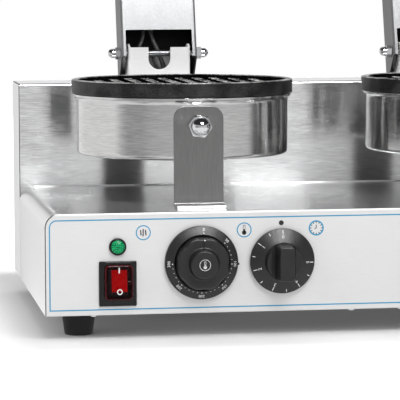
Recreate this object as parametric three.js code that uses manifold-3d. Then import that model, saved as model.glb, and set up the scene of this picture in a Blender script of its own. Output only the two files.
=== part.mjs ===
// Double waffle iron for a countertop: a folded steel base with two cast irons, each with a lid that
// swings up on a hinge at the rear. Millimetres, +Z up, X to the right, Y to the rear.
import * as THREE from 'three';
import { mergeVertices } from 'three/addons/utils/BufferGeometryUtils.js';
import Module from 'manifold-3d';

const wasm = await Module();
wasm.setup();

// Fits, and the facets on round shapes
const seatGap = 0.3;
const runGap = 0.6;
const overrun = 4;
const roundSides = 36;
const knobSides = 24;
const smallSides = 16;
const pinSides = 10;
const cornerSteps = 3;

// Base and rear box
const panPitch = 269;
const sideMargin = 138.5;
const bodyWidth = panPitch + 2 * sideMargin;
const footHeight = 21;
const sheet = 1.5;
const baseCorner = 12;
const panelFront = -141;
const panelReturn = 14;
const splashFront = 121;
const rearBoxDepth = 70;
const rearBoxRise = 98.5;
const rearBoxCorner = 2;
const footTopRadius = 14.8;
const footBottomRadius = 12.4;
const footInset = 32;
const frontFootInset = 38;
const rearFootInset = 33;
const slotLength = 60;
const slotWidth = 4;
const slotPitch = 16;
const slotRows = 4;
const wireSlotWidth = 44;
const wireSlotDepth = 16;
const glandInset = 73;
const glandHeight = 34;
const glandRadius = 11;
const glandNutThickness = 6;
const glandLength = 24;
const glandMouthRadius = 7;
const cordBoreRadius = 4.2;

// Cast plates and the pans that hold them
const plateRadius = 100;
const rimHeight = 12.6;
const rimWidth = 6;
const rimChamfer = 1;
const recessDepth = 9.5;
const pegDrop = 2.5;
const pegPitch = 16;
const pegBase = 11;
const pegTop = 7;
const pegBorder = 2;
const bossDrop = 6;
const bossGap = 2;
const panInset = 4.5;
const panLift = 40;
const panHeight = 54.6;
const panWall = 1.2;
const panCorner = 6.5;
const shoulder = 4;
const panLip = 3.5;
const plateGap = 1.2;
const heaterRing = 64;
const heaterTube = 3.25;
const heaterSides = 3;
const heaterSteps = 20;
const heaterSweepShare = 0.92;

// Front strap, its dome nut and the rear support
const strapWidth = 43.7;
const strapSheet = 2;
const strapTopDrop = 7.2;
const strapCorner = 10.5;
const strapFoot = 19;
const strapNutDrop = 16.8;
const strapNutFlats = 18.5;
const strapNutHex = 10;
const strapNutHeight = 20;
const studRadius = 6;
const studInside = 9;
const supportWidth = 44;
const supportRise = 10;
const supportHeight = 34;

// Hinge: bracket, pin, arm and the open angle
const hingeSetback = 34;
const pinRise = 27;
const openAngle = THREE.MathUtils.degToRad(105);
const bracketWidth = 60.3;
const bracketSheet = 2;
const bracketFront = 10;
const bracketCrown = 6;
const bracketRear = 17;
const bracketTail = 10;
const bracketFoot = 18;
const bracketLobe = 9;
const lobeAngles = [30, 120];
const notchWidth = 21.5;
const notchDepth = 21.3;
const pinRadius = 3;
const pinNutFlats = 10;
const pinNutHex = 5;
const pinNutHeight = 12;
const pinInNut = 4;
const armSideGap = 2.15;
const armLip = 4.5;
const armFloor = 10;
const armRoof = 28;
const windowReach = 24;
const heelStart = 5;
const heelWidth = 15;
const wireRadius = 2.3;
const sleeveRadius = 5.5;
const sleeveLength = 16;
const wireSteps = 10;

// Handle on each lid
const handleRise = 30;
const handlePlateWidth = 36;
const handlePlateHeight = 34;
const handlePlateThickness = 3;
const handleRod = 5;
const handleReach = 34;
const gripRadius = 15;
const gripWaist = 12.5;
const gripLength = 108;
const gripCollar = 9;
const gripEnd = 7;
const rodInGrip = 60;

// Controls, by their places below the base's top and beside each pan's centre
const switchX = -76.8;
const lampDrop = 28.5;
const lampRadius = 7.4;
const lampProud = 5.5;
const lampBezel = 2;
const lampLens = 6;
const lampNeck = 5.6;
const lampBody = 26;
const lampToSwitch = 4.85;
const switchToEdge = 7.75;
const switchWidth = 32.2;
const switchHeight = 38.5;
const switchProud = 3;
const switchWall = 1.7;
const switchSide = 3.8;
const switchEnd = 3.55;
const switchWell = 11;
const switchDepth = 25;
const bootClear = 0.94;
const bootWall = 1.1;
const bootCorner = 4;
const bootBack = 4;
const rockerSide = 2.4;
const rockerEnd = 2.3;
const rockerFace = 4;
const rockerBackGap = 1.6;
const rockerPivot = 7;
const rockerPin = 1.5;
const rockerTilt = THREE.MathUtils.degToRad(7);
const rockerDip = 1.2;
const knobDrop = 43.3;
const thermostatX = -5;
const dialRadius = 31.5;
const dialRunGap = 0.8;
const dialThickness = 7;
const dialFloor = 2;
const dialBevel = 2;
const knobRadius = 23;
const knobLobes = 8;
const lobeDepth = 1.6;
const lobeSteps = 5;
const knobGripHeight = 15;
const knobHeight = 22.5;
const knobCapRadius = 12;
const knobCapEdge = 1.5;
const knobSpacing = 10.5;
const timerRadius = 28;
const timerEdge = 3;
const timerSkirt = 6;
const timerBossRadius = 16;
const timerBossHeight = 16;
const timerBarWidth = 13;
const timerBarLength = 30.5;
const timerHeight = 28.5;
const shaftRadius = 3;
const shaftLength = 15;
const bushRadius = 5;
const bushLength = 1.4;
const thermostatSize = 34;
const thermostatDepth = 28;
const timerSize = 46;
const timerDepth = 36;

// Levels and places that follow from those sizes
const switchDrop = lampDrop + lampRadius + lampToSwitch + switchHeight / 2;
const baseTop = footHeight + switchDrop + switchHeight / 2 + switchToEdge;
const rearBoxTop = baseTop + rearBoxRise;
const splashBack = splashFront + rearBoxDepth;
const panelBack = panelFront + sheet;
const frontFootY = panelFront + frontFootInset;
const rearFootY = splashBack - rearFootInset;
const panRadius = plateRadius - panInset;
const panMouth = panRadius - shoulder - panLip;
const bossRadius = panMouth - bossGap;
const panBottom = baseTop + panLift;
const panTop = panBottom + panHeight;
const plateBottom = panTop + seatGap;
const plateTop = plateBottom + rimHeight;
const strapTop = panTop - strapTopDrop;
const strapNutZ = strapTop - strapNutDrop;
const supportBottom = panBottom + supportRise;
const hingeY = splashFront + hingeSetback;
const hingeZ = rearBoxTop + pinRise;
const bracketRise = pinRise + bracketCrown;
const armWidth = bracketWidth + 2 * (armLip + armSideGap);
const lean = openAngle - Math.PI / 2;
const heelDrop = pinRise - seatGap - armRoof * Math.sin(lean);
const heel = heelDrop / Math.cos(lean);
const switchWindowWidth = switchWidth - 2 * switchSide;
const switchWindowHeight = switchHeight - 2 * switchEnd;
const bootWidth = switchWindowWidth - 2 * seatGap;
const bootHeight = switchWindowHeight - 2 * seatGap;
const rockerWidth = bootWidth - 2 * (bootWall + rockerSide);
const rockerHeight = bootHeight - 2 * (bootWall + rockerEnd);
const rockerBack = switchWell - rockerBackGap;
const bootProud = rockerFace + rockerHeight / 2 * Math.sin(rockerTilt) + bootClear + bootWall;
const dialBore = knobRadius + dialRunGap;
const timerX = thermostatX + dialRadius + knobSpacing + timerRadius;

// Finishes
const steel = { color: 0xc9cbcc, metalness: 1, roughness: 0.32 };
const panelSteel = { color: 0xe1e2e2, metalness: 0.3, roughness: 0.45 };
const chrome = { color: 0xdcdedf, metalness: 1, roughness: 0.08 };
const castIron = { color: 0x2b2b2c, metalness: 0.2, roughness: 0.6 };
const blackPlastic = { color: 0x1f1f20, metalness: 0, roughness: 0.5 };
const rubber = { color: 0x161616, metalness: 0, roughness: 0.85 };
const greenLens = { color: 0x1fb573, metalness: 0, roughness: 0.2 };
const redPlastic = { color: 0xcc0a0a, metalness: 0, roughness: 0.3 };
const smokedRed = { color: 0x4a1114, metalness: 0, roughness: 0.12 };
const whiteGoods = { color: 0xd9d6cc, metalness: 0, roughness: 0.6 };
const heaterSheath = { color: 0x5c4a3e, metalness: 0.8, roughness: 0.5 };

// Turns a closed three.js geometry into a solid that can be joined and cut
function solidOf(geometry) {
  const bare = geometry.clone();
  bare.deleteAttribute('normal');
  bare.deleteAttribute('uv');
  const merged = mergeVertices(bare);
  const corners = merged.index.array;
  const kept = [];
  for (let i = 0; i < corners.length; i += 3) {
    const [a, b, c] = corners.slice(i, i + 3);
    if (a !== b && b !== c && c !== a) {
      kept.push(a, b, c);
    }
  }
  return new wasm.Manifold(new wasm.Mesh({
    numProp: 3,
    vertProperties: merged.attributes.position.array,
    triVerts: new Uint32Array(kept),
  }));
}

// Turns a solid back into a geometry with flat faces
function geometryOf(solid) {
  const raw = solid.getMesh();
  const geometry = new THREE.BufferGeometry();
  geometry.setAttribute('position', new THREE.BufferAttribute(raw.vertProperties, 3));
  geometry.setIndex(new THREE.BufferAttribute(raw.triVerts, 1));
  geometry.computeVertexNormals();
  return geometry;
}

// Puts one named piece into a group
function piece(group, name, solid, finish) {
  const mesh = new THREE.Mesh(geometryOf(solid), new THREE.MeshStandardMaterial(finish));
  mesh.name = name;
  group.add(mesh);
  return mesh;
}

// A block between two corners
function block(x0, x1, y0, y1, z0, z1) {
  const geometry = new THREE.BoxGeometry(x1 - x0, y1 - y0, z1 - z0);
  geometry.translate((x0 + x1) / 2, (y0 + y1) / 2, (z0 + z1) / 2);
  return solidOf(geometry);
}

// A rod along X, Y or Z between two places on that axis
function rod(axis, radius, from, to, sides, endRadius = radius) {
  const geometry = new THREE.CylinderGeometry(endRadius, radius, to - from, sides);
  geometry.translate(0, (from + to) / 2, 0);
  if (axis === 'x') {
    geometry.rotateZ(-Math.PI / 2);
  }
  if (axis === 'z') {
    geometry.rotateX(Math.PI / 2);
  }
  return geometry;
}

// A profile in X and Z, carried along Y from one place to another
function carriedAlongY(shape, from, to) {
  const geometry = new THREE.ExtrudeGeometry(shape, {
    depth: to - from,
    bevelEnabled: false,
    curveSegments: cornerSteps,
  });
  geometry.rotateX(Math.PI / 2);
  geometry.translate(0, to, 0);
  return solidOf(geometry);
}

// A profile in Y and Z, carried along X to both sides of the middle
function carriedAlongX(shape, width) {
  const geometry = new THREE.ExtrudeGeometry(shape, {
    depth: width,
    bevelEnabled: false,
    curveSegments: cornerSteps,
  });
  geometry.translate(0, 0, -width / 2);
  const xAxis = new THREE.Vector3(0, 1, 0);
  const yAxis = new THREE.Vector3(0, 0, 1);
  const zAxis = new THREE.Vector3(1, 0, 0);
  geometry.applyMatrix4(new THREE.Matrix4().makeBasis(xAxis, yAxis, zAxis));
  return solidOf(geometry);
}

// A turned shape about the vertical, from radius and height pairs
function turned(profile, sides) {
  const points = profile.map(([radius, height]) => new THREE.Vector2(radius, height));
  const geometry = new THREE.LatheGeometry(points, sides);
  geometry.rotateX(Math.PI / 2);
  return geometry;
}

// The points of a quarter round between two angles in degrees
function quarter(centreX, centreY, radius, from, to) {
  const points = [];
  for (let step = 0; step <= cornerSteps; step += 1) {
    const angle = THREE.MathUtils.degToRad(from + (to - from) * step / cornerSteps);
    points.push([centreX + radius * Math.cos(angle), centreY + radius * Math.sin(angle)]);
  }
  return points;
}

function shapeOf(points) {
  return new THREE.Shape(points.map(([x, y]) => new THREE.Vector2(x, y)));
}

// A rectangle with its top corners rounded, from its foot up
function arched(width, bottom, top, radius) {
  const half = width / 2;
  return shapeOf([
    [-half, bottom],
    [half, bottom],
    ...quarter(half - radius, top - radius, radius, 0, 90),
    ...quarter(radius - half, top - radius, radius, 90, 180),
  ]);
}

// A rectangle with four rounded corners, about its own middle
function rounded(width, height, radius) {
  const x = width / 2 - radius;
  const y = height / 2 - radius;
  return shapeOf([
    ...quarter(x, y, radius, 0, 90),
    ...quarter(-x, y, radius, 90, 180),
    ...quarter(-x, -y, radius, 180, 270),
    ...quarter(x, -y, radius, 270, 360),
  ]);
}

// A hexagon nut with a dome, standing on X = 0 and reaching along +X, with a stud behind it
function domeNut(flats, hexHeight, height, stud, studBehind) {
  const hex = solidOf(rod('x', flats / Math.sqrt(3), 0, hexHeight, 6));
  const domeRadius = flats / 2;
  const points = [[0, hexHeight / 2], [domeRadius, hexHeight / 2]];
  for (let step = 0; step < cornerSteps; step += 1) {
    const angle = (Math.PI / 2) * step / cornerSteps;
    points.push([
      domeRadius * Math.cos(angle),
      hexHeight + (height - hexHeight) * Math.sin(angle),
    ]);
  }
  points.push([0, height]);
  const dome = turned(points, pinSides);
  dome.rotateY(Math.PI / 2);
  const nut = hex.add(solidOf(dome));
  if (studBehind === 0) {
    return nut;
  }
  return nut.add(solidOf(rod('x', stud, -studBehind, hexHeight / 2, pinSides)));
}

const machine = new THREE.Group();

// Base: shell, front panel, rear box, rear panel, bottom plate, feet and cable gland
function buildBase() {
  const half = bodyWidth / 2;
  const shellFront = panelBack + seatGap;
  const shellBack = splashFront - seatGap;
  const outer = arched(bodyWidth, footHeight, baseTop, baseCorner);
  const inner = arched(bodyWidth - 2 * sheet, footHeight - overrun, baseTop - sheet, baseCorner - sheet);
  const shell = carriedAlongY(outer, shellFront, shellBack)
    .subtract(carriedAlongY(inner, shellFront - overrun, shellBack + overrun));
  piece(machine, 'base_shell', shell, steel);

  let panel = carriedAlongY(outer, panelFront, panelBack);
  const lipHalf = half - sheet - seatGap;
  const lipBack = panelBack + panelReturn;
  panel = panel.add(block(-lipHalf, lipHalf, panelFront + sheet / 2, lipBack, footHeight, footHeight + sheet));
  for (const side of [-1, 1]) {
    panel = panel.subtract(controlHoles(side * panPitch / 2));
  }
  piece(machine, 'front_panel', panel, panelSteel);

  const boxBack = splashBack - sheet - seatGap;
  let rearBox = carriedAlongY(arched(bodyWidth, footHeight, rearBoxTop, rearBoxCorner), splashFront, boxBack);
  rearBox = rearBox.subtract(block(
    sheet - half, half - sheet,
    splashFront + sheet, splashBack,
    footHeight - overrun, rearBoxTop - sheet,
  ));
  const passage = half - sheet - baseCorner;
  rearBox = rearBox.subtract(block(
    -passage, passage,
    splashFront - overrun, splashFront + 2 * sheet,
    footHeight - overrun, baseTop - 2 * baseCorner,
  ));
  for (const side of [-1, 1]) {
    const x = side * panPitch / 2;
    const slotFront = hingeY + pinRadius;
    rearBox = rearBox.subtract(block(
      x - wireSlotWidth / 2, x + wireSlotWidth / 2,
      slotFront, slotFront + wireSlotDepth,
      rearBoxTop - 2 * sheet, rearBoxTop + sheet,
    ));
  }
  piece(machine, 'rear_box', rearBox, steel);

  let rearPanel = carriedAlongY(
    arched(bodyWidth, footHeight, rearBoxTop, rearBoxCorner),
    splashBack - sheet,
    splashBack,
  );
  const glandX = half - glandInset;
  const glandZ = footHeight + glandHeight;
  const glandHole = rod('y', glandRadius - sheet, splashBack - overrun, splashBack + overrun, pinSides);
  glandHole.translate(glandX, 0, glandZ);
  rearPanel = rearPanel.subtract(solidOf(glandHole));
  for (const side of [-1, 1]) {
    const x = side * panPitch / 2;
    for (let row = 0; row < slotRows; row += 1) {
      const z = baseTop + slotPitch * (row + 1);
      rearPanel = rearPanel.subtract(block(
        x - slotLength / 2, x + slotLength / 2,
        splashBack - overrun, splashBack + overrun,
        z, z + slotWidth,
      ));
    }
  }
  piece(machine, 'rear_panel', rearPanel, steel);

  let bottom = block(
    -lipHalf, lipHalf,
    lipBack + seatGap, splashFront - seatGap,
    footHeight, footHeight + sheet,
  );
  bottom = bottom.add(block(
    -passage + seatGap, passage - seatGap,
    splashFront - overrun, boxBack,
    footHeight, footHeight + sheet,
  )).add(block(
    -lipHalf, lipHalf,
    splashFront + sheet + seatGap, boxBack,
    footHeight, footHeight + sheet,
  ));
  for (const side of [-1, 1]) {
    for (let row = 0; row < slotRows; row += 1) {
      const x = side * panPitch / 2 + (row - (slotRows - 1) / 2) * slotPitch;
      bottom = bottom.subtract(block(
        x - slotWidth / 2, x + slotWidth / 2,
        -slotLength / 2, slotLength / 2,
        footHeight - overrun, footHeight + overrun,
      ));
    }
  }
  piece(machine, 'bottom_plate', bottom, steel);

  for (const [endName, y] of [['front', frontFootY], ['rear', rearFootY]]) {
    for (const [sideName, side] of [['left', -1], ['right', 1]]) {
      const cone = solidOf(rod('z', footBottomRadius, 0, footHeight - seatGap, smallSides, footTopRadius));
      const foot = piece(machine, `foot_${endName}_${sideName}`, cone, rubber);
      foot.position.set(side * (half - footInset), y, 0);
    }
  }

  const nutBack = glandNutThickness + seatGap;
  const gland = solidOf(rod('y', glandRadius, seatGap, nutBack, 6))
    .add(solidOf(rod('y', glandRadius - sheet, nutBack - seatGap, glandLength, pinSides, glandMouthRadius)))
    .add(solidOf(rod('y', glandRadius - 2 * sheet, -glandNutThickness, nutBack, pinSides)))
    .subtract(solidOf(rod('y', cordBoreRadius, -glandNutThickness - overrun, glandLength + overrun, pinSides)));
  const glandMesh = piece(machine, 'cable_gland', gland, blackPlastic);
  glandMesh.position.set(glandX, splashBack, glandZ);
}

// The panel's cut-outs for one iron's controls
function controlHoles(panX) {
  const reach = [panelFront - overrun, panelBack + panelReturn / 2];
  const lampHole = rod('y', lampNeck + seatGap, ...reach, pinSides);
  lampHole.translate(panX + switchX, 0, baseTop - lampDrop);
  const holes = solidOf(lampHole);
  const halfWidth = switchWindowWidth / 2 + switchWall + seatGap;
  const halfHeight = switchWindowHeight / 2 + switchWall + seatGap;
  const switchZ = baseTop - switchDrop;
  const x = panX + switchX;
  const shafts = [thermostatX, timerX].map((place) => {
    const hole = rod('y', bushRadius + seatGap, ...reach, pinSides);
    hole.translate(panX + place, 0, baseTop - knobDrop);
    return solidOf(hole);
  });
  return holes
    .add(block(x - halfWidth, x + halfWidth, ...reach, switchZ - halfHeight, switchZ + halfHeight))
    .add(shafts[0])
    .add(shafts[1]);
}

// A spun steel pan standing on its floor, with a rounded foot and a shoulder that carries the plate
function panSolid() {
  const inside = panRadius - panWall;
  const profile = [
    [0, 0],
    ...quarter(panRadius - panCorner, panCorner, panCorner, -90, 0),
    ...quarter(panRadius - shoulder, panHeight - shoulder, shoulder, 0, 90),
    [panMouth, panHeight],
    [panMouth, panHeight - panWall],
    [panRadius - shoulder, panHeight - panWall],
    [inside, panHeight - shoulder],
    [inside, panCorner],
    [panRadius - panCorner, panWall],
    [0, panWall],
  ];
  return solidOf(turned(profile, roundSides));
}

// A cast plate lying on its underside, with a rim and rows of tapered pegs in its recess
function plateSolid() {
  const recess = plateRadius - rimWidth;
  const floor = rimHeight - recessDepth;
  const body = solidOf(turned([
    [0, -bossDrop],
    [bossRadius, -bossDrop],
    [bossRadius, 0],
    [plateRadius, 0],
    [plateRadius, rimHeight - rimChamfer],
    [plateRadius - rimChamfer, rimHeight],
    [recess, rimHeight],
    [recess, floor],
    [0, floor],
  ], roundSides));
  const pegReach = recess - pegBorder;
  const pegHeight = recessDepth - pegDrop;
  const rows = Math.ceil(pegReach / pegPitch);
  let pegs = null;
  for (let column = -rows; column < rows; column += 1) {
    for (let row = -rows; row < rows; row += 1) {
      const x = (column + 1 / 2) * pegPitch;
      const y = (row + 1 / 2) * pegPitch;
      const corner = Math.hypot(Math.abs(x) + pegBase / 2, Math.abs(y) + pegBase / 2);
      if (corner < pegReach) {
        const peg = rod('z', pegBase / Math.SQRT2, -bossDrop / 2, pegHeight, 4, pegTop / Math.SQRT2);
        peg.rotateZ(Math.PI / 4);
        peg.translate(x, y, floor);
        const solid = solidOf(peg);
        pegs = pegs === null ? solid : pegs.add(solid);
      }
    }
  }
  return body.add(pegs);
}

// A sheathed heating rod bent to an open ring, with its ends turned down
function heaterSolid() {
  const sweep = 2 * Math.PI * heaterSweepShare;
  const start = Math.PI / 2 + (2 * Math.PI - sweep) / 2;
  const points = [];
  for (let step = 0; step <= heaterSteps; step += 1) {
    const angle = start + sweep * step / heaterSteps;
    points.push(new THREE.Vector3(heaterRing * Math.cos(angle), heaterRing * Math.sin(angle), 0));
  }
  const section = new THREE.Shape();
  section.absarc(0, 0, heaterTube, 0, 2 * Math.PI);
  const geometry = new THREE.ExtrudeGeometry(section, {
    steps: heaterSteps,
    curveSegments: heaterSides,
    extrudePath: new THREE.CatmullRomCurve3(points),
  });
  return solidOf(geometry);
}

// The lower half of an iron, fixed to the base
function buildLowerIron(name, x) {
  const station = new THREE.Group();
  station.position.set(x, 0, 0);
  machine.add(station);

  const boltHole = rod('y', studRadius + runGap, -panRadius - overrun, -panRadius + overrun, pinSides);
  boltHole.translate(0, 0, strapNutZ - panBottom);
  const pan = piece(station, `${name}_lower_pan`, panSolid().subtract(solidOf(boltHole)), steel);
  pan.position.z = panBottom;
  const plate = piece(station, `${name}_lower_plate`, plateSolid(), castIron);
  plate.position.z = plateBottom;
  const heater = piece(station, `${name}_lower_heater`, heaterSolid(), heaterSheath);
  heater.position.z = plateBottom - bossDrop - seatGap - heaterTube;

  const strapBack = -panRadius - seatGap;
  const strapFront = strapBack - strapSheet;
  const strapBottom = baseTop + seatGap;
  const strapHole = rod('y', studRadius + seatGap, strapFront - overrun, strapBack + overrun, pinSides);
  strapHole.translate(0, 0, strapNutZ);
  const strap = carriedAlongY(
    arched(strapWidth, strapBottom, strapTop, strapCorner),
    strapFront,
    strapBack,
  ).add(block(
    -strapWidth / 2, strapWidth / 2,
    strapFront - strapFoot + strapSheet, strapBack,
    strapBottom, strapBottom + strapSheet,
  )).subtract(solidOf(strapHole));
  piece(station, `${name}_front_strap`, strap, steel);

  const studBehind = strapSheet + seatGap + studInside;
  const nut = domeNut(strapNutFlats, strapNutHex, strapNutHeight, studRadius, studBehind);
  const bolt = piece(station, `${name}_strap_bolt`, nut, chrome);
  bolt.position.set(0, strapFront - seatGap, strapNutZ);
  bolt.rotation.z = -Math.PI / 2;

  const panCut = rod('z', panRadius + seatGap, panBottom - overrun, panTop + overrun, roundSides);
  const supportTop = supportBottom + supportHeight;
  const support = block(
    -supportWidth / 2, supportWidth / 2,
    panRadius / 2, splashFront - seatGap,
    supportBottom, supportTop,
  ).subtract(block(
    strapSheet - supportWidth / 2, supportWidth / 2 - strapSheet,
    0, splashFront + overrun,
    supportBottom + strapSheet, supportTop - strapSheet,
  )).subtract(solidOf(panCut));
  piece(station, `${name}_rear_support`, support, steel);

  buildHingeBracket(name, station);
}

// The fixed bracket on the rear box, with the pin and its two dome nuts
function buildHingeBracket(name, station) {
  const place = new THREE.Group();
  place.position.set(0, hingeY, hingeZ);
  station.add(place);
  const bottom = rearBoxTop + seatGap - hingeZ;
  const webTop = rearBoxTop + bracketRise - hingeZ;
  const cheek = shapeOf([
    [-bracketFront, bottom],
    [bracketRear, bottom],
    [bracketRear, bottom + bracketTail],
    ...quarter(0, 0, bracketLobe, ...lobeAngles),
    [-bracketFront, webTop],
  ]);
  const inner = bracketWidth - 2 * bracketSheet;
  const back = bracketRear + overrun;
  const notchFloor = webTop - notchDepth;
  const notchRadius = notchWidth / 2;
  const notch = rod('y', notchRadius, -bracketFront - overrun, 0, smallSides);
  notch.translate(0, 0, notchFloor + notchRadius);
  const bracket = carriedAlongX(cheek, bracketWidth)
    .subtract(block(
      -inner / 2, inner / 2,
      bracketSheet - bracketFront, back,
      bottom - overrun, bracketLobe + overrun,
    ))
    .subtract(block(-inner / 2, inner / 2, -bracketFront - overrun, back, webTop, bracketLobe + overrun))
    .subtract(solidOf(notch))
    .subtract(block(
      -notchRadius, notchRadius,
      -bracketFront - overrun, 0,
      notchFloor + notchRadius, webTop + overrun,
    ))
    .add(block(
      -bracketWidth / 2, bracketWidth / 2,
      -bracketFront - bracketFoot, bracketSheet - bracketFront,
      bottom, bottom + bracketSheet,
    ))
    .subtract(solidOf(rod('x', pinRadius + seatGap, -bracketWidth, bracketWidth, pinSides)));
  piece(place, `${name}_hinge_bracket`, bracket, steel);

  const nutFoot = armWidth / 2 + seatGap;
  const rightNut = domeNut(pinNutFlats, pinNutHex, pinNutHeight, pinRadius, 0)
    .subtract(solidOf(rod('x', pinRadius + seatGap, -overrun, pinInNut + seatGap, pinSides)));
  const nut = piece(place, `${name}_hinge_nut`, rightNut, chrome);
  nut.position.x = nutFoot;
  const bolt = domeNut(pinNutFlats, pinNutHex, pinNutHeight, pinRadius, 2 * nutFoot + pinInNut);
  const pin = piece(place, `${name}_hinge_pin`, bolt, chrome);
  pin.position.x = -nutFoot;
  pin.rotation.z = Math.PI;
}

// The arm in its closed place about the pin: a box channel with a window underneath
function armSolid() {
  const reach = hingeY - panRadius / 2;
  const cheek = shapeOf([
    [heel, armRoof],
    [-reach, armRoof],
    [-reach, -armFloor],
    [heelStart, -armFloor],
    [heel, armRoof - heelWidth],
  ]);
  const innerHalf = armWidth / 2 - sheet;
  const lipHalf = armWidth / 2 - armLip;
  const rimBottom = plateTop + plateGap - overrun;
  const rimTop = plateTop + plateGap + rimHeight + seatGap / 2;
  const panCut = rod('z', panRadius + seatGap, rimBottom, panTop + hingeZ, roundSides);
  const rimCut = rod('z', plateRadius + runGap, rimBottom, rimTop, roundSides);
  for (const cut of [panCut, rimCut]) {
    cut.translate(0, -hingeY, -hingeZ);
  }
  return carriedAlongX(cheek, armWidth)
    .subtract(block(
      -innerHalf, innerHalf,
      -reach - overrun, heel + overrun,
      sheet - armFloor, armRoof - sheet,
    ))
    .subtract(block(
      -lipHalf, lipHalf,
      -windowReach, heel + overrun,
      -armFloor - overrun, sheet,
    ))
    .subtract(solidOf(panCut))
    .subtract(solidOf(rimCut))
    .subtract(solidOf(rod('x', pinRadius + seatGap, -armWidth, armWidth, pinSides)));
}

// Two sleeved wires that leave the pan together and part below, in places about the pin
const wireRoutes = [
  [[-15.5, -36, 11], [-18, -22, 10], [-21.5, -6, 9], [-22.5, 8, 8.5], [-22, 19, 7.5]],
  [[-10, -36, 11], [-8, -22, 10], [-4, -6, 9], [1, 8, 8.5], [4, 20, 7]],
];
const wireStarts = [-14.5, -11.5];
const sleeveX = -13;
const sleeveZ = 11;

function leadSolid() {
  const nearSide = Math.abs(sleeveX) - sleeveRadius;
  const wallY = Math.sqrt(panRadius ** 2 - nearSide ** 2) + seatGap - hingeY;
  const sleeve = rod('y', sleeveRadius, wallY, wallY + sleeveLength, pinSides);
  sleeve.translate(sleeveX, 0, sleeveZ);
  let lead = solidOf(sleeve);
  for (const [index, route] of wireRoutes.entries()) {
    const section = new THREE.Shape();
    section.absarc(0, 0, wireRadius, 0, 2 * Math.PI);
    const start = new THREE.Vector3(wireStarts[index], wallY + sleeveLength / 2, sleeveZ);
    const points = [start, ...route.map(([x, y, z]) => new THREE.Vector3(x, y, z))];
    lead = lead.add(solidOf(new THREE.ExtrudeGeometry(section, {
      steps: wireSteps,
      curveSegments: heaterSides,
      extrudePath: new THREE.CatmullRomCurve3(points),
    })));
  }
  return lead;
}

// The lid: arm, upper pan, plate, heater, lead and handle, turned back about the pin
function buildLid(name, x) {
  const lid = new THREE.Group();
  lid.position.set(x, hingeY, hingeZ);
  lid.rotation.x = -openAngle;
  machine.add(lid);

  piece(lid, `${name}_lid_arm`, armSolid(), steel);
  piece(lid, `${name}_lead`, leadSolid(), rubber);

  const iron = new THREE.Group();
  iron.position.set(0, -hingeY, plateTop + plateGap - hingeZ);
  lid.add(iron);
  const pan = piece(iron, `${name}_upper_pan`, panSolid(), steel);
  pan.position.z = rimHeight + seatGap + panHeight;
  pan.rotation.y = Math.PI;
  const plate = piece(iron, `${name}_upper_plate`, plateSolid(), castIron);
  plate.position.z = rimHeight;
  plate.rotation.y = Math.PI;
  const heater = piece(iron, `${name}_upper_heater`, heaterSolid(), heaterSheath);
  heater.position.z = rimHeight + bossDrop + seatGap + heaterTube;

  const handleFoot = -panRadius - seatGap;
  const plateFront = handleFoot - handlePlateThickness;
  const gripStart = plateFront - handleReach;
  const rodEnd = gripStart - rodInGrip;
  const stemRod = rod('y', handleRod, rodEnd, plateFront + handlePlateThickness / 2, pinSides);
  const stemPlate = rounded(handlePlateWidth, handlePlateHeight, baseCorner / 2);
  const stem = carriedAlongY(stemPlate, plateFront, handleFoot).add(solidOf(stemRod));
  const stemMesh = piece(iron, `${name}_handle_stem`, stem, steel);
  stemMesh.position.z = rimHeight + handleRise;

  const profile = [
    [0, 0],
    [gripRadius - gripCollar / 2, 0],
    [gripRadius, gripEnd / 2],
    [gripRadius, gripCollar],
    [gripWaist, gripCollar + gripEnd],
    [gripRadius, gripLength - 2 * gripCollar],
    ...quarter(gripRadius - gripEnd, gripLength - gripEnd, gripEnd, 0, 90),
    [0, gripLength],
  ];
  const grip = turned(profile, smallSides);
  grip.rotateX(Math.PI / 2);
  grip.translate(0, gripStart, 0);
  const bore = rod('y', handleRod + seatGap, rodEnd - seatGap, gripStart + overrun, pinSides);
  const gripMesh = piece(iron, `${name}_handle_grip`, solidOf(grip).subtract(solidOf(bore)), blackPlastic);
  gripMesh.position.z = rimHeight + handleRise;
}

// A turned piece that stands out of the panel, from radius and reach pairs
function turnedFromPanel(profile, sides) {
  const geometry = turned(profile, sides);
  geometry.rotateX(Math.PI / 2);
  return solidOf(geometry);
}

// One iron's lamp, switch, thermostat and timer, each about its own place on the panel
function buildControls(name, x) {
  const controls = new THREE.Group();
  controls.position.set(x, panelFront, baseTop);
  machine.add(controls);

  const lamp = turnedFromPanel([
    [0, -lampBody],
    [lampNeck, -lampBody],
    [lampNeck, seatGap],
    [lampRadius, seatGap],
    [lampRadius, lampBezel],
    [lampLens, lampBezel + seatGap],
    [lampLens * Math.cos(Math.PI / 4), lampProud - seatGap],
    [0, lampProud],
  ], smallSides);
  const lampMesh = piece(controls, `${name}_lamp`, lamp, greenLens);
  lampMesh.position.set(switchX, 0, -lampDrop);

  buildSwitch(name, controls);
  buildThermostat(name, controls);
  buildTimer(name, controls);
}

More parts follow.
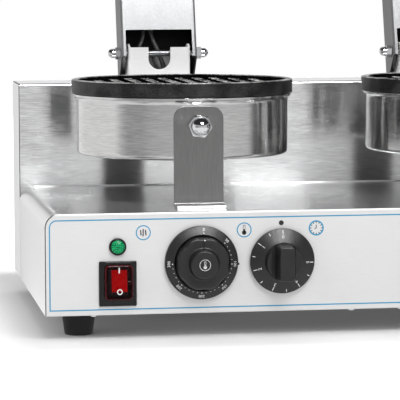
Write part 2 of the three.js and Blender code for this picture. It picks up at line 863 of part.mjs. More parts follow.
function buildSwitch(name, controls) {
  const place = new THREE.Group();
  place.position.set(switchX, 0, -switchDrop);
  controls.add(place);
  const halfWell = [switchWindowWidth / 2, switchWindowHeight / 2];
  const bodyHalf = halfWell.map((length) => length + switchWall);
  const frame = carriedAlongY(rounded(switchWidth, switchHeight, sheet), -switchProud, -seatGap)
    .add(block(-bodyHalf[0], bodyHalf[0], -switchProud / 2, switchDepth, -bodyHalf[1], bodyHalf[1]))
    .subtract(block(
      -halfWell[0], halfWell[0],
      -switchProud - overrun, switchWell,
      -halfWell[1], halfWell[1],
    ));
  piece(place, `${name}_switch_frame`, frame, blackPlastic);

  const boot = carriedAlongY(rounded(bootWidth, bootHeight, bootCorner), -bootProud, bootBack)
    .subtract(carriedAlongY(
      rounded(bootWidth - 2 * bootWall, bootHeight - 2 * bootWall, bootCorner - bootWall),
      bootWall - bootProud,
      bootBack + overrun,
    ));
  piece(place, `${name}_switch_boot`, boot, smokedRed);

  const halfHeight = rockerHeight / 2;
  const profile = shapeOf([
    [-rockerFace - rockerPivot, -halfHeight],
    [rockerDip - rockerFace - rockerPivot, 0],
    [-rockerFace - rockerPivot, halfHeight],
    [0, halfHeight - rockerDip],
    [rockerBack - rockerPivot, 0],
    [0, rockerDip - halfHeight],
  ]);
  const trunnion = switchWindowWidth / 2 - seatGap;
  const rocker = carriedAlongX(profile, rockerWidth)
    .add(solidOf(rod('x', rockerPin, -trunnion, trunnion, pinSides)));
  const rockerMesh = piece(place, `${name}_switch_rocker`, rocker, redPlastic);
  rockerMesh.position.y = rockerPivot;
  rockerMesh.rotation.x = -rockerTilt;
}

// A square body behind the panel, with a bush in the panel's hole and a shaft in the knob
function shaftedBody(size, depth) {
  const half = size / 2;
  return block(-half, half, sheet + seatGap, sheet + seatGap + depth, -half, half)
    .add(solidOf(rod('y', bushRadius, -bushLength, sheet + depth / 2, pinSides)))
    .add(solidOf(rod('y', shaftRadius, -shaftLength, sheet + depth / 2, pinSides)));
}

function buildThermostat(name, controls) {
  const place = new THREE.Group();
  place.position.set(thermostatX, 0, -knobDrop);
  controls.add(place);
  const dial = turnedFromPanel([
    [bushRadius + seatGap, seatGap],
    [dialRadius, seatGap],
    [dialRadius, dialThickness - dialBevel],
    [dialRadius - dialBevel, dialThickness],
    [dialBore, dialThickness],
    [dialBore, dialFloor],
    [bushRadius + seatGap, dialFloor],
    [bushRadius + seatGap, seatGap],
  ], knobSides);
  piece(place, `${name}_thermostat_dial`, dial, blackPlastic);

  const outline = [];
  const outlineSteps = knobLobes * lobeSteps;
  for (let step = 0; step < outlineSteps; step += 1) {
    const angle = 2 * Math.PI * step / outlineSteps;
    const radius = knobRadius - lobeDepth * (1 + Math.cos(knobLobes * angle)) / 2;
    outline.push([radius * Math.cos(angle), radius * Math.sin(angle)]);
  }
  const knobBack = dialFloor + seatGap;
  const cap = turnedFromPanel([
    [0, knobBack + seatGap],
    [knobCapRadius, knobBack + seatGap],
    [knobCapRadius, knobHeight - knobCapEdge],
    [knobCapRadius - knobCapEdge, knobHeight],
    [0, knobHeight],
  ], smallSides);
  const knob = carriedAlongY(shapeOf(outline), -knobGripHeight, -knobBack)
    .add(cap)
    .subtract(solidOf(rod('y', shaftRadius + seatGap, -shaftLength - seatGap, overrun, pinSides)));
  piece(place, `${name}_thermostat_knob`, knob, blackPlastic);
  piece(place, `${name}_thermostat_body`, shaftedBody(thermostatSize, thermostatDepth), whiteGoods);
}

function buildTimer(name, controls) {
  const place = new THREE.Group();
  place.position.set(timerX, 0, -knobDrop);
  controls.add(place);
  const knobBack = bushLength + seatGap;
  const barHalf = timerBarWidth / 2;
  const turnedBody = turnedFromPanel([
    [0, knobBack],
    [timerRadius, knobBack],
    [timerRadius, knobBack + timerEdge],
    [timerBossRadius + timerEdge, timerSkirt + timerEdge],
    [timerBossRadius, timerSkirt + timerEdge + sheet],
    [timerBossRadius - sheet, timerBossHeight],
    [0, timerBossHeight],
  ], knobSides);
  const bar = block(
    -barHalf, barHalf,
    -timerHeight, -timerSkirt,
    -timerBarLength / 2, timerBarLength / 2,
  );
  const knob = turnedBody
    .add(bar)
    .subtract(solidOf(rod('y', shaftRadius + seatGap, -shaftLength - seatGap, overrun, pinSides)));
  piece(place, `${name}_timer_knob`, knob, blackPlastic);
  piece(place, `${name}_timer_body`, shaftedBody(timerSize, timerDepth), whiteGoods);
}

buildBase();
for (const [name, side] of [['left', -1], ['right', 1]]) {
  const x = side * panPitch / 2;
  buildLowerIron(name, x);
  buildLid(name, x);
  buildControls(name, x);
}

// The origin lies under the middle of the machine as it stands with both lids open
machine.updateMatrixWorld(true);
const bounds = new THREE.Box3().setFromObject(machine, true);
machine.position.set(-(bounds.min.x + bounds.max.x) / 2, -(bounds.min.y + bounds.max.y) / 2, -bounds.min.z);
machine.updateMatrixWorld(true);

const part = new THREE.Group();
part.add(machine);

export default part;
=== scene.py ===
import math

import bmesh
import bpy
from mathutils import Matrix, Vector


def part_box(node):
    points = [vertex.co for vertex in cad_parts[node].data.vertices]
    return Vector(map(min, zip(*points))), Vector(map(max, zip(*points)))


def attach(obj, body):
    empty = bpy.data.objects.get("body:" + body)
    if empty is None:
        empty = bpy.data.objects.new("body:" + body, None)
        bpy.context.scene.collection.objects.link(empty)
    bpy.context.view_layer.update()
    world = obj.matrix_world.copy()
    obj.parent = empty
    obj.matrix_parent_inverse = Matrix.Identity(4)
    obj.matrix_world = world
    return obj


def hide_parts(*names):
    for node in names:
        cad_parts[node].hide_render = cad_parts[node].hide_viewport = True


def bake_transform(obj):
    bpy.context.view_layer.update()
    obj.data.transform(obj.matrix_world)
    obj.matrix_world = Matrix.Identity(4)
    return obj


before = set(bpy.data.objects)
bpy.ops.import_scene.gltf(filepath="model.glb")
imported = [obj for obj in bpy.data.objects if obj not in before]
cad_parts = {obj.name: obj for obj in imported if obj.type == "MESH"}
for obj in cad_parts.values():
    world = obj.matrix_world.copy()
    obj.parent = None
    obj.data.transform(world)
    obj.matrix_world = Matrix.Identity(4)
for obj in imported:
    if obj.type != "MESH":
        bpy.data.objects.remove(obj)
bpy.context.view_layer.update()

bpy.context.scene.view_settings.view_transform = "Standard"
MM = 0.001

# Camera. A long lens stands a little left of the machine and slightly above it, two metres away, and
# looks at the left iron. There is no depth of field and no shift.
def scene_object(name, data):
    """A new object in the scene."""
    made = bpy.data.objects.new(name, data)
    bpy.context.scene.collection.objects.link(made)
    return made


camera_place = Vector((-450.6, -2173.9, 308.1)) * MM
turn_right, look_down, tilt = 0.1562, 0.095, 0.003
focal_pixels, frame_pixels, sensor_width = 2352.9, 400, 36
camera = scene_object("camera", bpy.data.cameras.new("camera"))
camera.data.sensor_width = sensor_width
camera.data.lens = focal_pixels / frame_pixels * sensor_width
camera.data.clip_end = 20
camera.matrix_world = (
    Matrix.Translation(camera_place)
    @ Matrix.Rotation(-turn_right, 4, "Z")
    @ Matrix.Rotation(math.pi / 2 - look_down, 4, "X")
    @ Matrix.Rotation(-tilt, 4, "Z")
)
bpy.context.scene.camera = camera


# Studio. The machine stands on white paper between three softboxes that light it but aren't mirrored in
# it, and a fourth that is only mirrored. The rest that steel mirrors is the room, drawn by heading and
# height: bright, with dim gaps and black flags, and nearly black between the two irons.
def linear(hex_colour, factor=1.0, lift=0.0):
    """An sRGB hex colour as the linear colour that a shader takes, made lighter or darker by a factor."""
    channels = [int(hex_colour[i:i + 2], 16) / 255 for i in (1, 3, 5)]
    channels = [c / 12.92 if c <= 0.04045 else ((c + 0.055) / 1.055) ** 2.4 for c in channels]
    return (*[channel * factor + lift for channel in channels], 1.0)


def grey(level):
    """A linear grey."""
    return (level, level, level, 1.0)


def output(source):
    """The output that a link starts from: a socket itself, or a node's first output in use."""
    if isinstance(source, bpy.types.NodeSocket):
        return source
    return next(socket for socket in source.outputs if socket.enabled)


def add(tree, kind, settings=None, links=None):
    """Adds one shader node, with its properties and sockets set and its inputs linked."""
    node = tree.nodes.new("ShaderNode" + kind)
    for key, value in (settings or {}).items():
        if isinstance(key, int) or key in node.inputs:
            node.inputs[key].default_value = value
        else:
            setattr(node, key, value)
    for key, source in (links or {}).items():
        tree.links.new(output(source), node.inputs[key])
    return node


def room_brightness(tree, axes):
    """How bright steel sees the room, from stops of heading and level. Behind the camera, at 0, the wall is
    grey with narrow edges; the left, at -90 degrees, is bright, and the right holds two black flags."""
    forwards = add(tree, "Math", {"operation": "MULTIPLY", 1: -1.0}, {0: axes.outputs["Y"]})
    angle = add(tree, "Math", {"operation": "ARCTAN2"}, {0: axes.outputs["X"], 1: forwards})
    share = add(tree, "MapRange", {"From Min": -math.pi, "From Max": math.pi}, {"Value": angle})
    ramp = add(tree, "ValToRGB", links={"Fac": share})
    stops = [(-180, 0.1), (-177, 0.15), (-176, 1.0), (-134, 0.9), (-86, 0.95), (-78, 0.55), (-70, 0.3),
             (-52, 0.29), (-43, 0.4), (-20, 0.47), (0, 0.6), (7.8, 0.34), (8.1, 0.52), (9.0, 0.56),
             (9.5, 0.74), (11.6, 0.78), (12.6, 0.64), (14.1, 0.66), (14.3, 0.96), (15.2, 0.96), (15.3, 0.34),
             (16.2, 0.34), (16.4, 0.46), (34, 0.64), (68, 0.6), (76, 0.06), (91, 0.08), (96, 0.18),
             (102, 0.02), (130, 0.02), (148, 0.12), (162, 1.0)]
    elements = ramp.color_ramp.elements
    elements.remove(elements[1])
    for index, (degrees, level) in enumerate(stops):
        position = degrees / 360 + 0.5
        stop = elements[0] if index == 0 else elements.new(position)
        stop.position = position
        stop.color = grey(level)
    return ramp


world = bpy.data.worlds.new("studio")
bpy.context.scene.world = world
world.use_nodes = True
tree = world.node_tree
tree.nodes.clear()
soft_step = {"interpolation_type": "SMOOTHSTEP"}
path = add(tree, "LightPath")
axes = add(tree, "SeparateXYZ", links={0: add(tree, "TexCoord").outputs["Generated"]})
height = axes.outputs["Z"]                  # of a direction, so 0 is level and 1 is straight up
# Over the walls the ceiling starts bright and darkens overhead. A second reflection sees all of it bright.
above = add(tree, "MapRange", {"From Min": 0.18, "From Max": 0.28, **soft_step}, {"Value": height})
ceiling = add(tree, "MapRange", {"From Min": 0.2, "From Max": 0.42, "To Min": 0.75, "To Max": 0.03,
                                 **soft_step}, {"Value": height})
again = add(tree, "Math", {"operation": "GREATER_THAN", 1: 1.5}, {0: path.outputs["Glossy Depth"]})
overhead = add(tree, "Mix", {"data_type": "RGBA", 7: grey(0.9)}, {0: again, 6: ceiling})
upper = add(tree, "Mix", {"data_type": "RGBA"}, {0: above, 6: room_brightness(tree, axes), 7: overhead})
# Below the machine there is only white paper.
below = add(tree, "MapRange", {"From Min": -0.1, "From Max": -0.25, **soft_step}, {"Value": height})
once = add(tree, "Mix", {"data_type": "RGBA", 7: grey(0.95)}, {0: below, 6: upper})
# A second reflection that goes on sideways and to the front has come from between the irons.
sideways = add(tree, "Math", {"operation": "ABSOLUTE"}, {0: axes.outputs["X"]})
beside = add(tree, "Math", {"operation": "GREATER_THAN", 1: 0.5}, {0: sideways})
forward = add(tree, "Math", {"operation": "LESS_THAN", 1: -0.2}, {0: axes.outputs["Y"]})
gap = add(tree, "Math", {"operation": "MULTIPLY"}, {0: beside, 1: forward})
between_irons = add(tree, "Math", {"operation": "MULTIPLY"}, {0: gap, 1: again})
mirrored = add(tree, "Mix", {"data_type": "RGBA", 7: grey(0.01)}, {0: between_irons, 6: once})
# Matte surfaces get a plain soft light from the room, and the camera sees white.
direct = add(tree, "Math", {"operation": "LESS_THAN", 1: 0.5}, {0: path.outputs["Diffuse Depth"]})
in_steel = add(tree, "Math", {"operation": "MULTIPLY"}, {0: path.outputs["Is Glossy Ray"], 1: direct})
room = add(tree, "MapRange", {"From Min": 0.1, "From Max": 0.5, "To Min": 0.2, "To Max": 0.7},
           {"Value": height})
lighting = add(tree, "Mix", {"data_type": "RGBA"}, {0: in_steel, 6: room, 7: mirrored})
plain_white = add(tree, "Math", {"operation": "MAXIMUM"},
                  {0: path.outputs["Is Camera Ray"], 1: path.outputs["Is Transmission Ray"]})
shown = add(tree, "Mix", {"data_type": "RGBA", 7: grey(1.0)}, {0: plain_white, 6: lighting})
background = add(tree, "Background", links={"Color": shown})
add(tree, "OutputWorld", links={"Surface": background})


def softbox(name, place, size, power, mirrored):
    """A softbox turned to the middle of the machine, which it either lights or is only mirrored in."""
    light = bpy.data.lights.new(name, "AREA")
    light.shape = "RECTANGLE"
    light.size, light.size_y = size
    light.energy = power
    lamp = scene_object(name, light)
    lamp.location = place
    lamp.visible_glossy = mirrored
    lamp.visible_diffuse = not mirrored
    machine_middle = Vector((0, 0, 0.2))
    lamp.rotation_euler = (machine_middle - Vector(place)).to_track_quat("-Z", "Y").to_euler()


softbox("overhead_softbox", (0.1, -1.35, 1.95), (1.3, 0.8), 16, mirrored=False)
softbox("left_softbox", (-2.2, -1.0, 1.1), (1.2, 1.4), 13, mirrored=False)
softbox("right_softbox", (2.2, -1.3, 1.1), (0.9, 1.4), 7, mirrored=False)
softbox("front_softbox", (0.2, -1.7, 1.75), (0.9, 0.5), 66, mirrored=True)


def background_paper():
    """Matte white paper. The camera sees it plain white outside the machine's soft shadow."""
    material = bpy.data.materials.new("matte_white_paper")
    material.use_nodes = True
    tree = material.node_tree
    tree.nodes.clear()
    place = add(tree, "TexCoord").outputs["Object"]
    machine_half, shadow_reach, glow_at_most = (0.273, 0.235, 0.0), 0.1, 0.75
    folded = add(tree, "VectorMath", {"operation": "ABSOLUTE"}, {0: place})
    beyond = add(tree, "VectorMath", {"operation": "SUBTRACT", 1: machine_half}, {0: folded})
    outside = add(tree, "VectorMath", {"operation": "MAXIMUM", 1: (0.0, 0.0, 0.0)}, {0: beyond})
    distance = add(tree, "VectorMath", {"operation": "LENGTH"}, {0: outside})
    away = add(tree, "MapRange", {"From Max": shadow_reach, "To Max": glow_at_most, **soft_step},
               {"Value": distance})
    fibre = 1.5 * MM
    fibres = add(tree, "TexNoise", {"Scale": 1 / fibre, "Detail": 2.0}, {"Vector": place})
    paper = add(tree, "Mix", {"data_type": "RGBA", 6: linear("#e9e9e9"), 7: linear("#ffffff")}, {0: fibres})
    matte = add(tree, "BsdfDiffuse", links={"Color": paper})
    seen = add(tree, "LightPath").outputs["Is Camera Ray"]
    lift = add(tree, "Math", {"operation": "MULTIPLY"}, {0: seen, 1: away})
    glow = add(tree, "Emission", {"Color": linear("#ffffff")}, {"Strength": lift})
    both = add(tree, "AddShader", links={0: matte, 1: glow})
    add(tree, "OutputMaterial", links={"Surface": both})
    return material


floor_half = 3.0
paper_sheet = bmesh.new()
bmesh.ops.create_grid(paper_sheet, x_segments=1, y_segments=1, size=floor_half)
floor = scene_object("floor", bpy.data.meshes.new("floor"))
paper_sheet.to_mesh(floor.data)
paper_sheet.free()
floor.data.materials.append(background_paper())
floor.visible_glossy = False


# Base housing. One sheet of stainless steel, 1.5 mm thick, folded over the base's top and both sides
# with round bends, brushed along its length. Its front end stops just behind the control panel.
def block(low, high):
    """A closed block between two corners."""
    shape = bmesh.new()
    bmesh.ops.create_cube(shape, size=1)
    low, high = Vector(low), Vector(high)
    bmesh.ops.scale(shape, vec=high - low, verts=shape.verts)
    bmesh.ops.translate(shape, vec=(low + high) / 2, verts=shape.verts)
    return shape


def along(axis, where=lambda middle: True):
    """A test for the edges along an axis, "x", "y" or "z", whose middle passes a test of its own."""
    return lambda middle, way: abs(getattr(way, axis)) > 0.9 and where(middle)


def rounded(shape, radius, steps, chosen):
    """Rounds the edges that a test on their middle and direction chooses."""
    edges = []
    for edge in shape.edges:
        start, end = (vert.co for vert in edge.verts)
        if chosen((start + end) / 2, (end - start).normalized()):
            edges.append(edge)
    bmesh.ops.bevel(shape, geom=edges, offset=radius, offset_type="OFFSET", segments=steps, profile=0.5,
                    affect="EDGES", material=-1)
    return shape


def mesh_of(shape, name):
    """The bmesh as mesh data, which frees the bmesh."""
    data = bpy.data.meshes.new(name)
    shape.to_mesh(data)
    shape.free()
    return data


def piece(name, shape, materials, body, nodes=(), edge=0.0):
    """Makes a named object from a bmesh, with its small edge radius, and ties it to the frame."""
    bmesh.ops.recalc_face_normals(shape, faces=shape.faces)
    for face in shape.faces:
        face.smooth = True
    made = scene_object(name, mesh_of(shape, name))
    for material in materials if isinstance(materials, list) else [materials]:
        made.data.materials.append(material)
    sharp = math.radians(40)
    if edge:
        bevel = made.modifiers.new("edge_radius", "BEVEL")
        bevel.width = edge
        bevel.segments = 2
        bevel.limit_method = "ANGLE"
        bevel.angle_limit = sharp
    else:
        made.data.set_sharp_from_angle(angle=sharp)
    weighted = made.modifiers.new("flat_faces", "WEIGHTED_NORMAL")
    weighted.keep_sharp = True
    if body:
        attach(made, body)
    if nodes:
        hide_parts(*nodes)
    return made


def new_material(name, constants):
    """A material with its shader's constant sockets set, its tree, and the place in the piece's metres."""
    material = bpy.data.materials.new(name)
    material.use_nodes = True
    tree = material.node_tree
    for socket, value in constants.items():
        tree.nodes["Principled BSDF"].inputs[socket].default_value = value
    return material, tree, add(tree, "TexCoord").outputs["Object"]


def wired(material, sources):
    """Links the shader's sockets to the nodes that drive them, and gives the material back."""
    tree = material.node_tree
    for socket, source in sources.items():
        tree.links.new(output(source), tree.nodes["Principled BSDF"].inputs[socket])
    return material


def brushed_stainless(name, colour, roughness, grain, strength=1.0, anisotropy=0.95, metal=1.0, bow=0.0):
    """Cold-rolled stainless brushed on a belt. The belt's fine lines run along the grain and smear every
    reflection across it, so the eye sees soft bands with faint short dashes. The dashes are drawn some
    seven times wider than real, at 0.7 mm, to show at all. On a spun piece the grain, XY, runs round it.
    A bow shifts the reflections sideways, as in a sheet that its welds pulled a little out of flat. Less
    metal stands for a satin finish, whose haze hides part of the mirror."""
    material, tree, place = new_material(name, {"Metallic": metal, "Anisotropic": anisotropy})
    layers = []
    for length, width, settings in ((12 * MM, 0.7 * MM, {"Detail": 3.0, "Roughness": 0.6}),
                                    (30 * MM, 9 * MM, {"Detail": 2.0})):
        stretch = [1 / (length if axis in grain else width) for axis in "XYZ"]
        lines = add(tree, "Mapping", {"Scale": stretch}, {"Vector": place})
        layers.append(add(tree, "TexNoise", {"Scale": 1.0, **settings}, {"Vector": lines}))
    dashes = add(tree, "Mix", {"data_type": "FLOAT", 0: 0.25}, {2: layers[0], 3: layers[1]})
    spread = 0.05 * strength
    rough = add(tree, "MapRange", {"From Min": 0.3, "From Max": 0.7, "To Min": roughness - spread / 2,
                                   "To Max": roughness + spread}, {"Value": dashes})
    level = add(tree, "MapRange", {"From Min": 0.34, "From Max": 0.66}, {"Value": dashes})
    tint = add(tree, "Mix", {"data_type": "RGBA", 6: linear(colour, 1 - 0.26 * strength), 7: linear(colour)},
               {0: level})
    facing = add(tree, "NewGeometry").outputs["Normal"]
    bowed = add(tree, "VectorMath", {"operation": "ADD", 1: (bow, 0.0, 0.0)}, {0: facing})
    relief = add(tree, "Bump", {"Strength": 0.3 * strength, "Distance": 0.05 * MM},
                 {"Height": dashes, "Normal": bowed})
    to_world = {"vector_type": "VECTOR", "convert_from": "OBJECT", "convert_to": "WORLD"}
    if len(grain) == 1:
        lengthways = [1.0 if axis in grain else 0.02 for axis in "XYZ"]
        belt = add(tree, "VectorTransform", {**to_world, 0: lengthways})
        across = add(tree, "VectorMath", {"operation": "CROSS_PRODUCT"}, {0: facing, 1: belt})
    else:
        across = add(tree, "VectorTransform", {**to_world, 0: (0, 0, 1)})
    return wired(material, {"Base Color": tint, "Roughness": rough, "Normal": relief, "Tangent": across})


sheet = 1.5 * MM
base_corner = 12 * MM
shell_steel = brushed_stainless("brushed_stainless_housing", "#f3f4f4", 0.13, "X", strength=0.9)
low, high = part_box("base_shell")
shell = rounded(block(low, high), base_corner, 12, along("y", lambda middle: middle.z > low.z + sheet))
bmesh.ops.delete(shell, geom=[f for f in shell.faces if abs(f.normal.y) > 0.9 or f.normal.z < -0.9],
                 context="FACES")
housing = piece("base_housing", shell, shell_steel, "root", ["base_shell"])
wall = housing.modifiers.new("sheet", "SOLIDIFY")
wall.thickness = sheet
wall.offset = -1                            # inwards from the outer face
wall.use_even_offset = True
housing.modifiers.move(len(housing.modifiers) - 1, 0)


# Control panel. A separate satin stainless sheet, screwed over the front of the base, with its edges
# bent back round a small radius and a lip under the base. Its holes take the lamps, switches and shafts.
def mm(*lengths):
    """Millimetres as metres."""
    return tuple(length * MM for length in lengths)


def turned(profile, steps):
    """A shape turned about Z from radius and height pairs."""
    shape = bmesh.new()
    line = [shape.verts.new((radius, 0, height)) for radius, height in profile]
    for pair in zip(line, line[1:]):
        shape.edges.new(pair)
    bmesh.ops.spin(shape, geom=shape.verts[:] + shape.edges[:], cent=(0, 0, 0), axis=(0, 0, 1),
                   angle=2 * math.pi, steps=steps, use_merge=True)
    bmesh.ops.remove_doubles(shape, verts=shape.verts, dist=0.001 * MM)
    bmesh.ops.recalc_face_normals(shape, faces=shape.faces)
    return shape


def bar_shape(radius, start, end, steps=24):
    """A round bar along Z."""
    return turned([(0, start), (radius, start), (radius, end), (0, end)], steps)


def arc(centre_x, centre_y, radius, start, end, steps):
    """Points of an arc between two angles in degrees, for a turned profile."""
    angles = [math.radians(start + (end - start) * step / steps) for step in range(steps + 1)]
    return [(centre_x + radius * math.cos(angle), centre_y + radius * math.sin(angle)) for angle in angles]


def at(x, y, z):
    """A move to a place."""
    return Matrix.Translation((x, y, z))


def turn(degrees, axis):
    """A turn about an axis."""
    return Matrix.Rotation(math.radians(degrees), 4, axis)


def placed(shape, *moves):
    """Moves and turns a whole shape, the last move first."""
    matrix = Matrix.Identity(4)
    for move in moves:
        matrix = matrix @ move
    bmesh.ops.transform(shape, matrix=matrix, verts=shape.verts)
    return shape


def joined(*shapes):
    """Several shapes as one."""
    whole = bmesh.new()
    for shape in shapes:
        data = mesh_of(shape, "part")
        whole.from_mesh(data)
        bpy.data.meshes.remove(data)
    return whole


def carved(shape, *cutters):
    """Cuts closed shapes out of a closed shape."""
    whole = scene_object("whole", mesh_of(shape, "whole"))
    tools = []
    for cutter in cutters:
        bmesh.ops.recalc_face_normals(cutter, faces=cutter.faces)
        tool = scene_object("tool", mesh_of(cutter, "tool"))
        cut = whole.modifiers.new("cut", "BOOLEAN")
        cut.operation = "DIFFERENCE"
        cut.solver = "EXACT"
        cut.object = tool
        tools.append(tool)
    finished = bmesh.new()
    bpy.context.view_layer.update()
    finished.from_object(whole, bpy.context.evaluated_depsgraph_get())
    for spent in [whole, *tools]:
        data = spent.data
        bpy.data.objects.remove(spent)
        bpy.data.meshes.remove(data)
    return finished


def faced(shape, choose):
    """Gives each face the index of its material, chosen by its normal and its middle."""
    for face in shape.faces:
        face.material_index = int(choose(face.normal, face.calc_center_median()))
    return shape


def middle_of(node):
    """The middle of a frame node's box."""
    low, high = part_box(node)
    return [(start + end) / 2 for start, end in zip(low, high)]


def face_place(node):
    """Where a control's axis comes out of the panel's front."""
    x, _, z = middle_of(node)
    return at(x, panel_front, z) @ out_of_panel


out_of_panel = turn(90, "X")                # turns +Z into -Y, towards the user
panel_steel = brushed_stainless("satin_stainless_panel", "#e6e6e6", 0.4, "X", strength=0.14, anisotropy=0.5,
                                metal=0.3)
# A dark grey copy of the steel for the panel's side bends and the rear box's front corners: a painted shade
# line along those bends.
painted_shade_bend_steel = brushed_stainless("bent_edge_painted_shade", "#3c3c3c", 0.4, "X", strength=0.3, anisotropy=0.5)
panel_edge, lip_inset, clearance = mm(1.1, 1.8, 0.3)
bush_radius, lamp_neck, switch_rim_width, switch_rim_height = mm(5, 5.6, 1.8, 1.55)
pan_places = {side: middle_of(f"{side}_lower_pan")[0] for side in ("left", "right")}
low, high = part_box("front_panel")
panel_front, base_top, base_bottom = low.y, high.z, low.z
panel = rounded(block(low, (high.x, panel_front + sheet, high.z)), base_corner, 12,
                along("y", lambda middle: middle.z > base_bottom + sheet))
rounded(panel, panel_edge, 4, lambda middle, way: abs(middle.y - panel_front) < 0.1 * MM)
holes = []
for side in pan_places:
    for node, radius in (("thermostat_body", bush_radius), ("timer_body", bush_radius), ("lamp", lamp_neck)):
        holes.append(placed(bar_shape(radius + clearance, -4 * sheet, 4 * sheet, 32),
                            face_place(f"{side}_{node}")))
    start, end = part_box(f"{side}_switch_frame")
    holes.append(block((start.x + switch_rim_width, panel_front - sheet, start.z + switch_rim_height),
                       (end.x - switch_rim_width, panel_front + 2 * sheet, end.z - switch_rim_height)))
# The panel's bent side edges take the dark steel, painted shade.
panel = faced(carved(panel, *holes),
              lambda normal, middle: abs(normal.x) > 0.3 and middle.y < panel_front + panel_edge)
lip = block((low.x + lip_inset, panel_front + sheet / 2, base_bottom),
            (high.x - lip_inset, high.y, base_bottom + sheet))
piece("control_panel", joined(panel, lip), [panel_steel, painted_shade_bend_steel], "root", ["front_panel"])


# Printed marks. Blue border, blue rings round black symbols, and a black index dot over each timer,
# silk-screened on the panel in enamel ink a few hundredths of a millimetre thick.
def patchy(name, first, second, gloss, size, detail=2.0, constants=None, bump=None):
    """A finish that drifts between two colours and two roughnesses in patches of a size, which a bump of
    a strength and a depth may raise."""
    material, tree, place = new_material(name, constants or {})
    patches = add(tree, "TexNoise", {"Scale": 1 / size, "Detail": detail}, {"Vector": place})
    tint = add(tree, "Mix", {"data_type": "RGBA", 6: first, 7: second}, {0: patches})
    rough = add(tree, "MapRange", {"To Min": gloss[0], "To Max": gloss[1]}, {"Value": patches})
    sources = {"Base Color": tint, "Roughness": rough}
    if bump:
        sources["Normal"] = add(tree, "Bump", {"Strength": bump[0], "Distance": bump[1]}, {"Height": patches})
    return wired(material, sources)


def ink(name, colour):
    """Silk-screened enamel ink: opaque, a little glossy, slightly uneven where the mesh let it through."""
    return patchy(name, linear(colour), linear(colour, 1.1), (0.45, 0.6), size=0.5 * MM)


def stroke(start, end, width):
    """A straight printed stroke in a plane, from one place to another."""
    start, end = Vector((*start, 0)), Vector((*end, 0))
    line = end - start
    shape = block((0, -width / 2, 0), (line.length, width / 2, ink_height))
    return placed(shape, Matrix.Translation(start), Matrix.Rotation(math.atan2(line.y, line.x), 4, "Z"))


def ring(radius, width, steps=48):
    """A printed ring about the origin."""
    inner, outer = radius - width / 2, radius + width / 2
    return turned([(inner, 0), (outer, 0), (outer, ink_height), (inner, ink_height), (inner, 0)], steps)


def dot(radius, x=0.0, y=0.0):
    """A printed dot."""
    return placed(bar_shape(radius, 0, ink_height, 20), at(x, y, 0))


def on_panel(shape, x, z):
    """Puts a print that was drawn flat, with Y up, on the panel's front."""
    return placed(shape, at(x, panel_front, z), out_of_panel)


def thermometer(scale):
    """A thermometer with its bulb below, a scale unit wide at the bulb: its column, cap and two walls."""
    lines = ((0, -0.6, 0, 0.15, 0.45), (-0.2, 1.05, 0.2, 1.05, 0.1),
             (-0.21, 0.1, -0.21, 1.05, 0.11), (0.21, 0.1, 0.21, 1.05, 0.11))
    return [dot(0.5 * scale, 0, -0.6 * scale),
            *[stroke((x * scale, y * scale), (to_x * scale, to_y * scale), width * scale)
              for x, y, to_x, to_y, width in lines]]


ink_height = 0.06 * MM
blue_ink = ink("blue_enamel_ink", "#2796c2")
black_ink = ink("black_enamel_ink", "#1a1a1a")
border_side, border_top, border_foot, border_width, border_corner = mm(3.4, 5, 4.3, 1.05, 6.5)
border_low = Vector((low.x + border_side, panel_front - ink_height, base_bottom + border_foot))
border_high = Vector((high.x - border_side, panel_front, base_top - border_top))
outer, inner = [
    rounded(block(border_low + Vector((inset, -depth, inset)), border_high + Vector((-inset, depth, -inset))),
            border_corner - inset, 10, along("y", lambda middle: middle.z > base_bottom + 2 * border_foot))
    for inset, depth in ((0, 0), (border_width, MM))]
rings, glyphs = [], []
symbol_radius, index_radius, index_right, index_drop = mm(6, 2.15, 64.6, 10.8)
for pan_x in pan_places.values():
    heat = [stroke(mm(x - lean, -length), mm(x + lean, length), MM)
            for x, length, lean in ((-2.1, 2.3, -0.2), (-0.1, 3.1, 0.1), (2.1, 2.3, -0.2))]
    clock = []
    for hour in range(12):
        across, up = math.sin(hour * math.pi / 6), math.cos(hour * math.pi / 6)
        clock.append(stroke(mm(across * 4.2, up * 4.2), mm(across * 5.4, up * 5.4), 0.75 * MM))
    clock += [stroke((0, 0), hand, 0.65 * MM) for hand in (mm(0, 2.9), mm(-1.5, -0.9))]
    for right, drop, line, symbol in ((-54.7, 17, 0.95, heat), (32.3, 16.3, 0.95, thermometer(3.9 * MM)),
                                      (95.2, 15.8, 1.25, clock)):
        centre = pan_x + right * MM, base_top - drop * MM
        rings.append(on_panel(ring(symbol_radius, line * MM), *centre))
        glyphs += [on_panel(shape, *centre) for shape in symbol]
    glyphs.append(on_panel(dot(index_radius), pan_x + index_right, base_top - index_drop))
piece("printed_blue_lines", joined(carved(outer, inner), *rings), blue_ink, "root")
piece("printed_symbols", joined(*glyphs), black_ink, "root")


# Rear box and splashback. Brushed stainless, folded like the base and welded at its upper corners. Its
# front is the splashback, and slots in its top let the lids' wires in. A vented panel closes the back.
low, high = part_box("rear_box")
box_top, splash = high.z, low.y
box_radius, side_radius, opening_drop = mm(2, 0.6, 24)
slot_half, slot_front, slot_back = mm(22, 37, 53)
rear = rounded(block(low, high), box_radius, 4, lambda middle, way: middle.z > base_top
               and (abs(way.y) > 0.9 or middle.y < splash + MM) and abs(way.z) < 0.5)
rounded(rear, side_radius, 3, along("z", lambda middle: middle.y < splash + 0.1 * MM))
rear = carved(
    rear,
    block((low.x + sheet, splash + sheet, low.z - sheet), (high.x - sheet, high.y + sheet, high.z - sheet)),
    block((low.x + base_corner, splash - sheet, low.z - sheet),
          (high.x - base_corner, splash + 2 * sheet, base_top - opening_drop)),
    *[block((x - slot_half, splash + slot_front, box_top - 2 * sheet),
            (x + slot_half, splash + slot_back, box_top + sheet)) for x in pan_places.values()])
